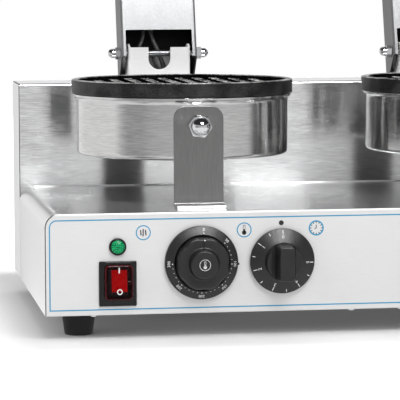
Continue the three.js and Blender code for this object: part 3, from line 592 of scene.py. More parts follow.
# The rear box's rounded front corners take the dark steel, painted shade; its front face takes the bowed
# steel.
faced(rear, lambda normal, middle: 2 if 0.2 < abs(normal.x) < 0.98 and normal.y < -0.1 and abs(normal.z) < 0.2
      else normal.y < -0.9 and middle.y < splash + MM)
splash_steel = brushed_stainless("bowed_brushed_stainless", "#f3f4f4", 0.13, "X", strength=0.9, bow=0.026)
piece("rear_housing", rear, [shell_steel, splash_steel, painted_shade_bend_steel], "root", ["rear_box"],
      edge=0.25 * MM)
# White steel for the rolled bead under the splashback. On each strap's foot it is a painted highlight.
bright_bend_and_highlight_steel = brushed_stainless("bright_bend_and_painted_highlight", "#ffffff", 0.4, "X", strength=0.1, anisotropy=0.9)
bead_radius, bead_inset = 0.8 * MM, base_corner + 2 * MM
bead = bar_shape(bead_radius, low.x + bead_inset, high.x - bead_inset, 12)
piece("rear_housing_foot_bend", placed(bead, at(0, splash, base_top + bead_radius / 2), turn(90, "Y")),
      bright_bend_and_highlight_steel, "root")
seam_radius, seam_inset = mm(0.5, 0.75)
weld_seams = [placed(bar_shape(seam_radius, 0, high.y - splash, 8), at(x, splash, box_top - seam_inset),
                     turn(-90, "X")) for x in (low.x + seam_inset, high.x - seam_inset)]


def dressed(names, material):
    """Gives carried-over nodes of the frame their finish."""
    for name in names:
        node = bpy.data.objects[name]
        node.data.materials.clear()
        node.data.materials.append(material)


def heat_tint_and_shade_steel(name, dark, pale, metal=1.0):
    """Darker, rougher stainless with patches, for real heat tint from welding and heat and for near-black
    painted shade.
    """
    return patchy(name, linear(dark), linear(pale), (0.35, 0.6), 6 * MM, 4.0, {"Metallic": metal})


tinted_steel = heat_tint_and_shade_steel("heat_tinted_stainless", "#3f3a36", "#7d766c")
piece("rear_housing_seams", joined(*weld_seams), tinted_steel, "root")
dressed(["rear_panel", "bottom_plate"], shell_steel)


# Screws. Small bright pan-head screws hold the panel's lip and the rear panel. Each is cold-headed
# steel, zinc plated, with a cross recess.
def plated(name, colour, roughness):
    """Bright plating over a polished steel part: a clean mirror with faint waviness from the polishing."""
    return patchy(name, linear(colour), linear(colour, 0.8), (roughness * 0.7, roughness * 1.5), 2.5 * MM,
                  constants={"Metallic": 1.0}, bump=(0.1, 0.05 * MM))


def screw(radius):
    """A pan-head screw seen from above, its head's seat at the origin."""
    head = turned([(0, -radius / 2), (radius, -radius / 2), (radius, 0.3 * radius),
                   *arc(0.55 * radius, 0.3 * radius, 0.45 * radius, 0, 90, 4), (0, 0.78 * radius)], 24)
    recess = [block((-a * radius, -b * radius, 0.4 * radius), (a * radius, b * radius, radius))
              for a, b in ((0.55, 0.12), (0.12, 0.55))]
    return carved(head, *recess)


bright_plate = plated("bright_zinc_plate", "#e4e6e8", 0.12)
screw_radius, lip_depth, screw_inset, screw_sunk = mm(2.6, 8, 9, 0.8)
screws = [placed(screw(screw_radius), at(pan_x + x, panel_front + lip_depth, base_bottom), turn(180, "X"))
          for pan_x in pan_places.values() for x in mm(-97, 128)]
low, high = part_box("rear_panel")
screws += [placed(screw(screw_radius), at(x, high.y - screw_sunk, z), turn(-90, "X"))
           for x in (low.x + screw_inset, 0.0, high.x - screw_inset)
           for z in (low.z + screw_inset, high.z - screw_inset)]
piece("housing_screws", joined(*screws), bright_plate, "root")


# Feet. Four tapered rubber feet, moulded in one piece round a steel washer, each screwed up into the
# bottom plate through its hollow middle.
def moulded(name, colour, roughness, grain, depth, shine=0.3):
    """Moulded rubber or plastic, which takes the mould's fine spark-eroded grain, so highlights break up
    into small bright specks."""
    material, tree, place = new_material(name, {"Specular IOR Level": shine})
    specks = add(tree, "TexNoise", {"Scale": 1 / grain, "Detail": 3.0, "Roughness": 0.65}, {"Vector": place})
    patch = 14 * MM
    patches = add(tree, "TexNoise", {"Scale": 1 / patch, "Detail": 2.0}, {"Vector": place})
    tint = add(tree, "Mix", {"data_type": "RGBA", 6: linear(colour), 7: linear(colour, 1.6, 0.004)},
               {0: patches})
    rough = add(tree, "MapRange", {"From Min": 0.3, "From Max": 0.7, "To Min": roughness - 0.08,
                                   "To Max": roughness + 0.1}, {"Value": specks})
    relief = add(tree, "Bump", {"Strength": 0.5, "Distance": depth}, {"Height": specks})
    return wired(material, {"Base Color": tint, "Roughness": rough, "Normal": relief})


rubber = moulded("moulded_black_rubber", "#19191a", 0.72, grain=0.6 * MM, depth=0.08 * MM)
for name in [f"foot_{end}_{side}" for end in ("front", "rear") for side in pan_places]:
    low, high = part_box(name)
    x, y, _ = middle_of(name)
    top_radius = (high.x - low.x) / 2
    foot_radius, hollow = top_radius - 2.4 * MM, 5 * MM
    foot = turned([(0, high.z), (top_radius - MM, high.z), *arc(top_radius - MM, high.z - MM, MM, 90, 0, 3),
                   *arc(foot_radius - 1.5 * MM, 1.5 * MM, 1.5 * MM, 0, -90, 4),
                   (hollow, 0), (hollow - MM, 6 * MM), (0, 6 * MM)], 48)
    piece(f"rubber_{name}", placed(foot, at(x, y, 0)), rubber, "root", [name])


# Cable gland. A black nylon gland clamps the mains cord in the rear panel: a hexagon body, a round cap
# nut turned down over its fingers, and an open throat for the cord.
nylon = moulded("moulded_black_nylon", "#1b1b1c", 0.5, grain=0.5 * MM, depth=0.04 * MM)
gland_x, _, gland_z = middle_of("cable_gland")
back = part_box("rear_panel")[1].y
hexagon = turned([mm(4.2, -5), mm(9, -5), mm(9, 0.3), mm(11, 0.3), mm(11, 6), mm(4.2, 6), mm(4.2, -5)], 6)
rounded(hexagon, 0.5 * MM, 2, along("z", lambda middle: math.hypot(middle.x, middle.y) > 9.2 * MM))
cap = turned([mm(4.2, 6.3), mm(9.5, 6.3), mm(9.5, 15), *arc(*mm(6.5, 20.3, 3), 40, 90, 4), mm(5, 23.5),
              mm(4.2, 22), mm(4.2, 6.3)], 36)
piece("mains_gland", placed(joined(hexagon, cap), at(gland_x, back, gland_z), turn(-90, "X")), nylon, "root",
      ["cable_gland"], edge=0.3 * MM)


# Pans. Each iron's element sits in a round pan, spun from stainless sheet over a former, with a rounded
# foot and a wall that flares out to a lip under its cast plate. It is brushed while it still turns.
def spun_pan():
    """A pan standing on its floor, whose wall flares out to a lip under the plate."""
    inside, bend, lip_radius = pan_radius - pan_wall, 4.8 * MM, pan_radius + flare
    return turned([(0, 0), *arc(pan_radius - pan_corner, pan_corner, pan_corner, -90, 0, 8),
                   *arc(pan_radius + bend, pan_height - 6.4 * MM, bend, 180, 116, 7),
                   (lip_radius, pan_height - 1.6 * MM),
                   *arc(lip_radius - 0.7 * MM, pan_height - 0.7 * MM, 0.7 * MM, 0, 80, 4),
                   (mouth_radius, pan_height), (mouth_radius, pan_height - pan_wall),
                   (inside, pan_height - pan_wall), (inside, pan_corner), (pan_radius - pan_corner, pan_wall),
                   (0, pan_wall)], 144)


pan_steel = brushed_stainless("spun_brushed_stainless", "#dcdcdb", 0.17, "XY", strength=0.9)
pan_radius, pan_height, pan_wall, pan_corner, flare, mouth_radius = mm(95.8, 54.6, 1.2, 4, 2.7, 88)
for side, pan_x in pan_places.items():
    _, pan_y, _ = middle_of(f"{side}_lower_pan")
    standing = at(pan_x, pan_y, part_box(f"{side}_lower_pan")[0].z)
    piece(f"{side}_lower_iron_pan", placed(spun_pan(), standing), pan_steel, "root",
          [f"{side}_lower_pan"])


# Cast plates. Sand-cast iron discs with a machined rim and rows of tapered pegs that mould the waffle.
# A dark baked coating covers them, and batter and knives have worn it off the edges of the pegs. Those edges
# and the rim's top are painted near-white, a highlight too, and the pegs and the floor among them are matte
# near-black, painted shade.
def cast_iron(name, dark, pale, roughness, grain, depth, metal=0.35):
    """Coated cast iron, whose sand grain shows through the coating as fine pits and dull sparkle."""
    material, tree, place = new_material(name, {"Metallic": metal, "Specular IOR Level": metal})
    sand = add(tree, "TexNoise", {"Scale": 1 / grain, "Detail": 5.0, "Roughness": 0.7}, {"Vector": place})
    patch = 18 * MM
    patches = add(tree, "TexNoise", {"Scale": 1 / patch, "Detail": 3.0}, {"Vector": place})
    mixed = add(tree, "Mix", {"data_type": "FLOAT", 0: 0.4}, {2: sand, 3: patches})
    share = add(tree, "MapRange", {"From Min": 0.44, "From Max": 0.6}, {"Value": mixed})
    tint = add(tree, "Mix", {"data_type": "RGBA", 6: linear(dark), 7: linear(pale)}, {0: share})
    rough = add(tree, "MapRange", {"From Min": 0.3, "From Max": 0.7, "To Min": roughness - 0.1,
                                   "To Max": roughness + 0.12}, {"Value": sand})
    relief = add(tree, "Bump", {"Strength": 0.6, "Distance": depth}, {"Height": sand})
    return wired(material, {"Base Color": tint, "Roughness": rough, "Normal": relief})


def waffle_peg():
    """A tapered square peg about the origin. The edge round its top is worn and painted near-white as a
    highlight; its top and sides are matte black, painted shade.
    """
    peg = bmesh.new()
    peg_height = recess - peg_drop + 2 * MM
    bmesh.ops.create_cone(peg, cap_ends=True, segments=4, radius1=peg_base / math.sqrt(2),
                          radius2=peg_top / math.sqrt(2), depth=peg_height)
    placed(peg, turn(45, "Z"))
    rounded(peg, 0.8 * MM, 2, lambda middle, way: abs(way.z) > 0.5)
    rounded(peg, 0.65 * MM, 1, lambda middle, way: abs(middle.z - peg_height / 2) < 0.01 * MM)
    wear_and_highlight_from = peg_height / 2 - MM
    return faced(peg, lambda normal, middle: 1 if 0.2 < normal.z < 0.95 and middle.z > wear_and_highlight_from else 2)


def waffle_plate():
    """A cast plate lying on its back, pegs up."""
    floor_level, inner = rim_height - recess, plate_radius - rim_width
    disc = turned([mm(0, -6), mm(86, -6), mm(86, 0), (plate_radius - MM, 0),
                   *arc(plate_radius - MM, MM, MM, -90, 0, 3),
                   *arc(plate_radius - 1.2 * MM, rim_height - 1.2 * MM, 1.2 * MM, 0, 90, 3),
                   (inner + 0.6 * MM, rim_height), (inner, rim_height - 0.6 * MM),
                   *arc(inner - 2 * MM, floor_level + 2 * MM, 2 * MM, 0, -90, 4), (0, floor_level)], 144)
    # The rim's top takes the worn iron that is painted as a highlight; the floor and inner wall take the
    # painted-shade iron.
    faced(disc, lambda normal, middle: 1 if middle.z > rim_height - 0.5 * MM
          else 2 * (math.hypot(middle.x, middle.y) < inner))
    rows = [(index + 0.5) * peg_pitch for index in range(-6, 6)]
    pegs = [placed(waffle_peg(), at(x, y, floor_level + (recess - peg_drop) / 2 - MM))
            for x in rows for y in rows
            if math.hypot(abs(x) + peg_base / 2, abs(y) + peg_base / 2) < inner - 2 * MM]
    return joined(disc, *pegs)


coated_iron = cast_iron("coated_cast_iron", "#080808", "#3c3c3c", 0.45, grain=0.9 * MM, depth=0.16 * MM)
# A near-white iron for the worn edges, painted highlight as well, and a matte near-black iron, painted shade
# among the pegs.
wear_and_highlight_iron = cast_iron("worn_and_painted_highlight_cast_iron", "#1d1d1d", "#f0f0ee", 0.4, grain=1.5 * MM, depth=0.05 * MM)
shaded_waffle_iron = cast_iron("painted_shade_cast_iron", "#080808", "#1a1a1a", 0.75, grain=1.5 * MM, depth=0.1 * MM,
                       metal=0.0)
plate_radius, rim_height, rim_width, recess = mm(100, 12.6, 6, 9.5)
peg_pitch, peg_base, peg_top, peg_drop = mm(16, 11, 7, 2.5)
for side, pan_x in pan_places.items():
    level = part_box(f"{side}_lower_plate")[1].z - rim_height
    piece(f"{side}_lower_waffle_plate", placed(waffle_plate(), at(pan_x, pan_y, level)),
          [coated_iron, wear_and_highlight_iron, shaded_waffle_iron], "root", [f"{side}_lower_plate"])


# Heating rods. Steel-sheathed elements bent to an open ring, clamped to the back of each cast plate
# inside its pan, browned by use.
dressed([f"{side}_{level}_heater" for side in pan_places for level in ("lower", "upper")], tinted_steel)


# Front straps. Each pan hangs in front on a strap of 2 mm stainless, cut with two round top corners and
# bent out to a foot at the bottom. Its grain runs up and down; a big dome nut holds it to the pan.
def prism(points, low_x, high_x):
    """A closed prism along X from its outline of Y and Z pairs."""
    shape = bmesh.new()
    outline = shape.faces.new([shape.verts.new((low_x, y, z)) for y, z in points])
    pushed = bmesh.ops.extrude_face_region(shape, geom=[outline])
    bmesh.ops.translate(shape, vec=(high_x - low_x, 0, 0),
                        verts=[v for v in pushed["geom"] if isinstance(v, bmesh.types.BMVert)])
    bmesh.ops.recalc_face_normals(shape, faces=shape.faces)
    return shape


def near(y, z):
    """A test for the edges along X at a place."""
    return lambda middle, way: math.hypot(middle.y - y, middle.z - z) < 0.2 * MM


strap_steel = brushed_stainless("strap_stainless_vertical_grain", "#9a9a99", 0.3, "Z", strength=0.6,
                                anisotropy=0.9)
strap_sheet, strap_corner, stud_radius = mm(2, 10.5, 6)
inner_bend, outer_bend = mm(1.4, 3.2)
for side, pan_x in pan_places.items():
    low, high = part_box(f"{side}_front_strap")
    face_y, bend = high.y - strap_sheet, low.z + strap_sheet
    nut_z = middle_of(f"{side}_strap_bolt")[2]
    strap = prism([(high.y, low.z), (high.y, high.z), (face_y, high.z), (face_y, bend), (low.y, bend),
                   (low.y, low.z)], low.x, high.x)
    rounded(strap, inner_bend, 4, near(face_y, bend))
    rounded(strap, outer_bend, 5, near(high.y, low.z))
    rounded(strap, strap_corner, 10, along("y", lambda middle: middle.z > high.z - MM))
    rounded(strap, MM, 3, along("z", lambda middle: middle.y < low.y + MM))
    strap = carved(strap, placed(bar_shape(stud_radius + clearance, -strap_sheet, 3 * strap_sheet),
                                 at(pan_x, high.y, nut_z), out_of_panel))
    # The foot's front edge takes the white steel, much brighter than the strap: a painted highlight line.
    faced(strap, lambda normal, middle: abs(normal.y) > 0.9 and middle.y < low.y + MM)
    piece(f"{side}_hanging_strap", strap, [strap_steel, bright_bend_and_highlight_steel], "root",
          [f"{side}_front_strap"], edge=0.3 * MM)
dressed([f"{side}_rear_support" for side in pan_places], shell_steel)


# Dome nuts. Cold-formed and nickel plated: a chamfered hexagon with a domed cap over the stud's end,
# one on each strap's stud and one on each end of a hinge pin.
def dome_nut(flats, hex_height, height):
    """A dome nut standing on its seat."""
    corner = flats / math.sqrt(3)
    hexagon = bar_shape(corner, 0, hex_height, 6)
    chamfer, outside = 0.49 * flats, 1.2 * corner
    slope = math.tan(math.radians(22)) * (outside - chamfer)
    for seat, way in ((0, 1), (hex_height, -1)):
        hexagon = carved(hexagon, turned([(chamfer, seat), (chamfer, seat - way * flats),
                                          (outside, seat - way * flats), (outside, seat + way * slope),
                                          (chamfer, seat)], 48))
    cap = 0.46 * flats
    foot, neck = hex_height - 0.1 * flats, height - cap
    dome = turned([(0, foot), (cap, foot), (cap, neck), *arc(0, neck, cap, 0, 90, 10)[1:]], 40)
    return joined(hexagon, dome)


bolt_chrome = plated("polished_nickel_plate", "#e9eaec", 0.07)
for side, pan_x in pan_places.items():
    stud_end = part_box(f"{side}_strap_bolt")[1].y
    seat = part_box(f"{side}_front_strap")[1].y - strap_sheet - clearance
    bolt = joined(placed(dome_nut(*mm(18.2, 9.5, 20.5)), turn(-7, "Z")),
                  bar_shape(stud_radius, seat - stud_end, 0.5 * MM))
    bolt_place = at(pan_x, seat, middle_of(f"{side}_strap_bolt")[2])
    piece(f"{side}_strap_dome_nut", placed(bolt, bolt_place, out_of_panel), bolt_chrome, "root",
          [f"{side}_strap_bolt"])


# Hinge brackets. A channel of 2 mm bright stainless welded to the rear box: two cheeks that carry the
# pin, and a front web cut with a round-bottomed notch for the wires, over a foot that lies on the box.
bracket_steel = brushed_stainless("bright_formed_stainless", "#ffffff", 0.35, "X", strength=0.2,
                                  anisotropy=0.5, metal=0.0)
_, pin_y, pin_z = middle_of("left_hinge_pin")
pin_radius, bracket_sheet, bracket_front, bracket_rear, cheek_radius = mm(3, 2, 10, 17, 9)
web_top, notch_radius, notch_depth, foot_length, foot_corner = mm(6, 10.75, 21.3, 18, 3)
cut_front, cut_back, cut_top, through = mm(20, 30, 12, 60)
along_x = turn(90, "Y")                     # turns +Z into +X
for side, pan_x in pan_places.items():
    low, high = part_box(f"{side}_hinge_bracket")
    foot_z, notch_floor = low.z - pin_z, web_top - notch_depth
    cheek = prism([(-bracket_front, foot_z), (bracket_rear, foot_z), (bracket_rear, foot_z + 10 * MM),
                   *arc(0, 0, cheek_radius, 30, 120, 12), (-bracket_front, web_top)],
                  low.x - pan_x, high.x - pan_x)
    rounded(cheek, foot_corner, 5, along("z", lambda middle: middle.y < -bracket_front + MM))
    inner = (high.x - low.x) / 2 - bracket_sheet
    cuts = [rounded(block((-inner, bracket_sheet - bracket_front, foot_z - MM), (inner, cut_back, cut_top)),
                    MM, 3, along("z", lambda middle: middle.y < 0)),
            block((-inner, -cut_front, web_top), (inner, cut_back, cut_top)),
            rounded(block((-notch_radius, -cut_front, notch_floor), (notch_radius, 0, cut_top)),
                    notch_radius * 0.97, 12, along("y", lambda middle: middle.z < notch_floor + MM)),
            placed(bar_shape(pin_radius + clearance, -through, through), along_x)]
    foot = rounded(block((low.x - pan_x, -bracket_front - foot_length, foot_z),
                         (high.x - pan_x, -bracket_front + MM, foot_z + bracket_sheet)), foot_corner, 5,
                   along("z", lambda middle: middle.y < -bracket_front - 10 * MM))
    bracket = placed(joined(carved(cheek, *cuts), foot), at(pan_x, pin_y, pin_z))
    piece(f"{side}_fixed_bracket", bracket, bracket_steel, "root", [f"{side}_hinge_bracket"],
          edge=0.3 * MM)


# Hinge pins. A ground 6 mm steel pin goes through both sides of the arm and both cheeks of the bracket,
# with a dome nut screwed on each of its ends.
pin_steel = plated("ground_steel_pin", "#7c7d7f", 0.34)
for side, pan_x in pan_places.items():
    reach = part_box(f"{side}_hinge_nut")[0].x - pan_x
    nuts = [placed(dome_nut(*mm(10, 5, 12)), at(way * reach, 0, 0), turn(way * 90, "Y")) for way in (-1, 1)]
    pin = faced(placed(bar_shape(pin_radius, -reach, reach), along_x), lambda normal, middle: 1)
    piece(f"{side}_hinge_pin_and_nuts", placed(joined(pin, *nuts), at(pan_x, pin_y, pin_z)),
          [bolt_chrome, pin_steel], "root", [f"{side}_hinge_pin", f"{side}_hinge_nut"])


# Lid arms. Each is a channel bent from 1.5 mm stainless, with narrow lips along an open window below the
# pin, and its front end is cut to the pan's round wall and welded there. Its heel stops the open lid.
def opened(shape, pan_x):
    """Turns a lid's shape, drawn closed about its pin, back to the open place."""
    return placed(shape, at(pan_x, pin_y, pin_z), turn(-lid_open, "X"))


lid_open = 105
arm_steel = brushed_stainless("arm_stainless", "#8e8f90", 0.35, "Z", strength=0.9, anisotropy=0.7, metal=0.7)
# Inside the channel the arm is painted near-black: painted shade.
painted_shade_arm_inside = heat_tint_and_shade_steel("arm_inside_painted_shade", "#030303", "#0b0b0a", metal=0.1)
# A darker, less mirror-like copy of the arm's steel for its outer sides: painted shade.
shaded_arm_side_steel = brushed_stainless("arm_side_painted_shade", "#808081", 0.45, "Z", strength=1.0, anisotropy=0.5,
                               metal=0.5)
arm_floor, arm_roof, heel, heel_start, heel_width = mm(10, 28, 20.14, 5, 15)
window_reach, arm_lip, arm_corner, cut_past = mm(21, 4.5, 2.5, 9)
closed_rim_top = 229.45 * MM - pin_z
pan_from_pin = pan_y - pin_y
for side, pan_x in pan_places.items():
    low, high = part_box(f"{side}_lid_arm")
    half = (high.x - low.x) / 2
    front = pan_from_pin + pan_radius / 2
    arm = prism([(heel, arm_roof), (front, arm_roof), (front, -arm_floor), (heel_start, -arm_floor),
                 (heel, arm_roof - heel_width)], -half, half)
    rounded(arm, arm_corner, 4, along("y"))
    inside = block((sheet - half, front - cut_past, sheet - arm_floor),
                   (half - sheet, heel + cut_past, arm_roof - sheet))
    window = block((arm_lip - half, -window_reach, -arm_floor - cut_past),
                   (half - arm_lip, heel + cut_past, sheet))
    arm = carved(
        arm,
        rounded(inside, MM, 3, along("y")),
        rounded(window, MM, 3, along("z", lambda middle: middle.y < 0)),
        placed(bar_shape(pin_radius + clearance, -through, through), along_x),
        placed(bar_shape(pan_radius + clearance, -20 * MM, 90 * MM, 144), at(0, pan_from_pin, 0)),
        placed(bar_shape(plate_radius + 2 * clearance, -40 * MM, closed_rim_top, 144),
               at(0, pan_from_pin, 0)))
    depth = 0.6 * sheet                     # a face deeper than this is inside the channel
    # Faces inside the channel take the near-black painted shade; the outer sides take the darker side steel,
    # painted shade too.
    faced(arm, lambda normal, middle: depth - arm_floor < middle.z < arm_roof - depth
          if abs(middle.x) < half - depth else 2 * (abs(normal.x) > 0.95))
    piece(f"{side}_folded_arm", opened(arm, pan_x), [arm_steel, painted_shade_arm_inside, shaded_arm_side_steel], f"{side}_lid",
          [f"{side}_lid_arm"], edge=0.3 * MM)


# Upper pans and plates. Like the lower ones, turned over: the same spun pan and cast plate ride on the
# lid, whose pegs meet the lower ones over the batter when it is closed.
plate_gap, pan_rise = mm(0.15, 54.75)
for side, pan_x in pan_places.items():
    upper_pan = placed(spun_pan(), at(0, pan_from_pin, closed_rim_top + pan_rise), turn(180, "Y"))
    piece(f"{side}_upper_iron_pan", opened(upper_pan, pan_x), pan_steel, f"{side}_lid",
          [f"{side}_upper_pan"])
    upper_plate = placed(waffle_plate(), at(0, pan_from_pin, closed_rim_top - plate_gap), turn(180, "Y"))
    piece(f"{side}_upper_waffle_plate", opened(upper_plate, pan_x), [coated_iron, wear_and_highlight_iron, shaded_waffle_iron],
          f"{side}_lid", [f"{side}_upper_plate"])


# Handles. A small stainless plate is welded to the front of each upper pan with a round rod in it, and
# a turned grip of black heatproof plastic is pushed over the rod. The grip has finger grooves.
grip_plastic = moulded("black_phenolic_grip", "#1c1c1d", 0.4, grain=0.5 * MM, depth=0.03 * MM)
handle_z = closed_rim_top - plate_gap + 30 * MM
seat_half_width, seat_half_height, seat_corner, seat_sheet = mm(18, 17, 6, 3)
rod_radius, rod_reach, rod_in_grip, weld_radius = mm(5, 34, 60, 2)
bore = rod_radius + clearance
grip_radius, grip_waist, grip_length, grip_end, grip_rim = mm(14.9, 12.5, 107, 7, 2)
grooves, groove_depth, groove_start, groove_pitch = 5, 0.7 * MM, 24 * MM, 15 * MM
for side, pan_x in pan_places.items():
    seat_y = pan_from_pin - pan_radius - clearance
    plate_y = seat_y - seat_sheet
    grip_start = plate_y - rod_reach
    plate = rounded(block((-seat_half_width, plate_y, -seat_half_height),
                          (seat_half_width, seat_y, seat_half_height)), seat_corner, 6, along("y"))
    rod = placed(bar_shape(rod_radius, seat_sheet / 2 - seat_y, rod_in_grip - grip_start, 32), out_of_panel)
    weld = placed(turned([(0, 0), (rod_radius + weld_radius, 0),
                          *arc(rod_radius + weld_radius, weld_radius, weld_radius, -90, -180, 4),
                          (0, weld_radius)], 32), at(0, plate_y, 0), out_of_panel)
    stem = placed(joined(plate, rod, weld), at(0, 0, handle_z))
    piece(f"{side}_handle_rod", opened(stem, pan_x), bracket_steel, f"{side}_lid",
          [f"{side}_handle_stem"], edge=0.3 * MM)
    profile = [(bore, 0), (grip_radius - grip_rim, 0),
               *arc(grip_radius - grip_rim, grip_rim, grip_rim, -90, 0, 4), (grip_radius, 7 * MM),
               *arc(grip_radius - grip_rim, 9 * MM, grip_rim, 0, 60, 3), (grip_waist, 13 * MM)]
    for index in range(grooves):
        centre = groove_start + index * groove_pitch
        swell = grip_waist + (grip_radius - grip_waist) * (centre - 13 * MM) / (grip_length - 31 * MM)
        profile += [(swell, centre - 2.4 * MM), (swell - groove_depth, centre - 1.2 * MM),
                    (swell - groove_depth, centre + 1.2 * MM), (swell, centre + 2.4 * MM)]
    profile += [(grip_radius, grip_length - 14 * MM),
                *arc(grip_radius - grip_end, grip_length - grip_end, grip_end, 0, 90, 8), (0, grip_length),
                (0, rod_in_grip + MM), (bore, rod_in_grip + MM), (bore, 0)]
    grip = placed(turned(profile, 48), at(0, grip_start, handle_z), out_of_panel)
    piece(f"{side}_turned_grip", opened(grip, pan_x), grip_plastic, f"{side}_lid",
          [f"{side}_handle_grip"])


# Lid wires. Two heatproof wires in varnished glass-fibre sleeves leave each upper pan by a short gland,
# part behind the hinge pin and go down through the slot in the rear box.
def curve_shape(curve):
    """The surface of a curve as a shape, which frees the curve."""
    holder = bpy.data.objects.new("curve", curve)
    data = bpy.data.meshes.new_from_object(holder)
    shape = bmesh.new()
    shape.from_mesh(data)
    bpy.data.objects.remove(holder)
    bpy.data.meshes.remove(data)
    bpy.data.curves.remove(curve)
    return shape


def tube(points, radius):
    """A round tube along a smooth line through points."""
    curve = bpy.data.curves.new("path", "CURVE")
    curve.dimensions = "3D"
    curve.bevel_depth = radius
    curve.bevel_resolution = 3
    curve.use_fill_caps = True
    line = curve.splines.new("BEZIER")
    line.bezier_points.add(len(points) - 1)
    for knot, point in zip(line.bezier_points, points):
        knot.co = point
        knot.handle_left_type = knot.handle_right_type = "AUTO"
    shape = curve_shape(curve)
    bmesh.ops.remove_doubles(shape, verts=shape.verts, dist=0.001 * MM)
    return shape


def braided(name, colour):
    """Varnished glass-fibre braid: dark, with a fine woven relief that glints along the wire."""
    material, tree, place = new_material(name, {"Metallic": 0.5})
    weave = 1.1 * MM
    threads = add(tree, "TexVoronoi", {"Scale": 1 / weave}, {"Vector": place})
    tint = add(tree, "Mix", {"data_type": "RGBA", 6: linear(colour), 7: linear(colour, 2, 0.01)},
               {0: threads})
    rough = add(tree, "MapRange", {"To Min": 0.15, "To Max": 0.3}, {"Value": threads})
    relief = add(tree, "Bump", {"Strength": 0.3, "Distance": 0.1 * MM}, {"Height": threads})
    return wired(material, {"Base Color": tint, "Roughness": rough, "Normal": relief})


sleeve_grey = braided("varnished_grey_sleeve", "#5e5e5f")
wire_radius, gland_radius, gland_chamfer, gland_end = mm(2.3, 5.5, 14, 16)
wire_routes = [                             # millimetres from the middle of the hinge pin
    [(-14.5, 24, 47), (-14.3, 21.9, 39.2), (-11.8, 18.5, 29), (-13.2, 14.5, 16), (-18, 12, 2), (-20, 11, -13),
     (-18, 10.5, -26), (-17, 10.5, -38)],
    [(-10.5, 24, 47), (-10, 21.9, 39.2), (-6.2, 18.5, 29), (-4.4, 14.5, 17), (1.2, 12, 2), (7.2, 10.5, -15),
     (9, 10.5, -26), (9.5, 10.5, -38)],
]
for side, pan_x in pan_places.items():
    hinge = Vector((pan_x, pin_y, pin_z))
    for index, route in enumerate(wire_routes):
        wire = tube([hinge + Vector(point) * MM for point in route], wire_radius)
        made = piece(f"{side}_lid_wire_{index + 1}", wire, sleeve_grey, None,
                     [f"{side}_lead"] if index == 0 else ())
        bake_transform(made)
    gland = turned([(0, 0), (gland_radius, 0), (gland_radius, gland_chamfer), (gland_radius - MM, gland_end),
                    (0, gland_end)], 24)
    gland = placed(gland, at(*mm(-13, -59.5, 11)), turn(-90, "X"))
    piece(f"{side}_lid_wire_gland", opened(gland, pan_x), rubber, f"{side}_lid", edge=0.3 * MM)


# Pilot lamps. A black plastic bezel snapped into the panel, with a green lens whose inside is moulded in
# hexagonal dimples that scatter the light of the neon bulb behind it.
def dimpled_lens():
    """Clear green plastic over moulded hexagons: bright cell middles between darker edges, a little lit."""
    material, tree, place = new_material("green_dimpled_lens", {
        "Emission Strength": 0.12, "Specular IOR Level": 0.2, "Roughness": 0.25})
    cell = 1.6 * MM
    flat = add(tree, "Mapping", {"Scale": (1 / cell, 0.0, 1 / cell)}, {"Vector": place})
    cells = add(tree, "TexVoronoi", {"Scale": 1.0, "Randomness": 0.35}, {"Vector": flat})
    share = add(tree, "MapRange", {"From Min": 0.15, "From Max": 0.65}, {"Value": cells})
    tint = add(tree, "Mix", {"data_type": "RGBA", 6: linear("#1fc07a"), 7: linear("#025a33")}, {0: share})
    relief = add(tree, "Bump", {"Strength": 0.5, "Distance": 0.2 * MM, "invert": True}, {"Height": share})
    return wired(material, {"Base Color": tint, "Emission Color": tint, "Normal": relief})


lens_green = dimpled_lens()
bezel_black = moulded("glossy_black_bezel", "#0a0a0b", 0.3, grain=0.5 * MM, depth=0.02 * MM)
lamp_radius, lens_radius, lens_gap, bezel_height, seat_height = mm(7.4, 5.7, 0.1, 2.8, 1.6)
lens_sphere = 9 * MM
lens_sink = math.sqrt(lens_sphere ** 2 - lens_radius ** 2)
for side in pan_places:
    lamp_place = face_place(f"{side}_lamp")
    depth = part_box(f"{side}_lamp")[1].y - panel_front
    bezel = turned([(0, -depth), (lamp_neck, -depth), (lamp_neck, clearance), (lamp_radius, clearance),
                    *arc(lamp_radius - MM, bezel_height - MM, MM, 0, 90, 4),
                    (lens_radius + lens_gap, bezel_height), (lens_radius + lens_gap, seat_height),
                    (0, seat_height)], 48)
    piece(f"{side}_lamp_bezel", placed(bezel, lamp_place), bezel_black, "root")
    edge_angle = math.degrees(math.asin(lens_sink / lens_sphere))
    lens = turned([(0, seat_height + lens_gap), (lens_radius, seat_height + lens_gap),
                   *arc(0, bezel_height - lens_sink, lens_sphere, edge_angle, 90, 8)], 48)
    piece(f"{side}_lamp_lens", placed(lens, lamp_place), lens_green, "root", [f"{side}_lamp"])


# Switches. A black nylon frame with a raised rim snaps into the panel. Inside it a soft clear-red silicone
# boot seals the rocker, whose red window is lit from behind, with I and O printed white on the boot.
def silicone(name, dark, pale, alpha):
    """Dark see-through silicone rubber: wet-looking at its bends, with the lit rocker showing through."""
    return patchy(name, linear(dark), linear(pale), (0.08, 0.25), size=5 * MM,
                  constants={"Specular IOR Level": 0.2, "Alpha": alpha})


def lit_window():
    """The rocker's red window: ribbed clear plastic, glowing evenly from the neon behind it."""
    material, tree, place = new_material("lit_red_window", {
        "Emission Strength": 0.45, "Specular IOR Level": 0.1, "Roughness": 0.3})
    pearl = 1.4 * MM
    pearls = add(tree, "TexNoise", {"Scale": 1 / pearl, "Detail": 2.0}, {"Vector": place})
    tint = add(tree, "Mix", {"data_type": "RGBA", 6: linear("#c40000"), 7: linear("#ff0404")}, {0: pearls})
    return wired(material, {"Base Color": tint, "Emission Color": tint})


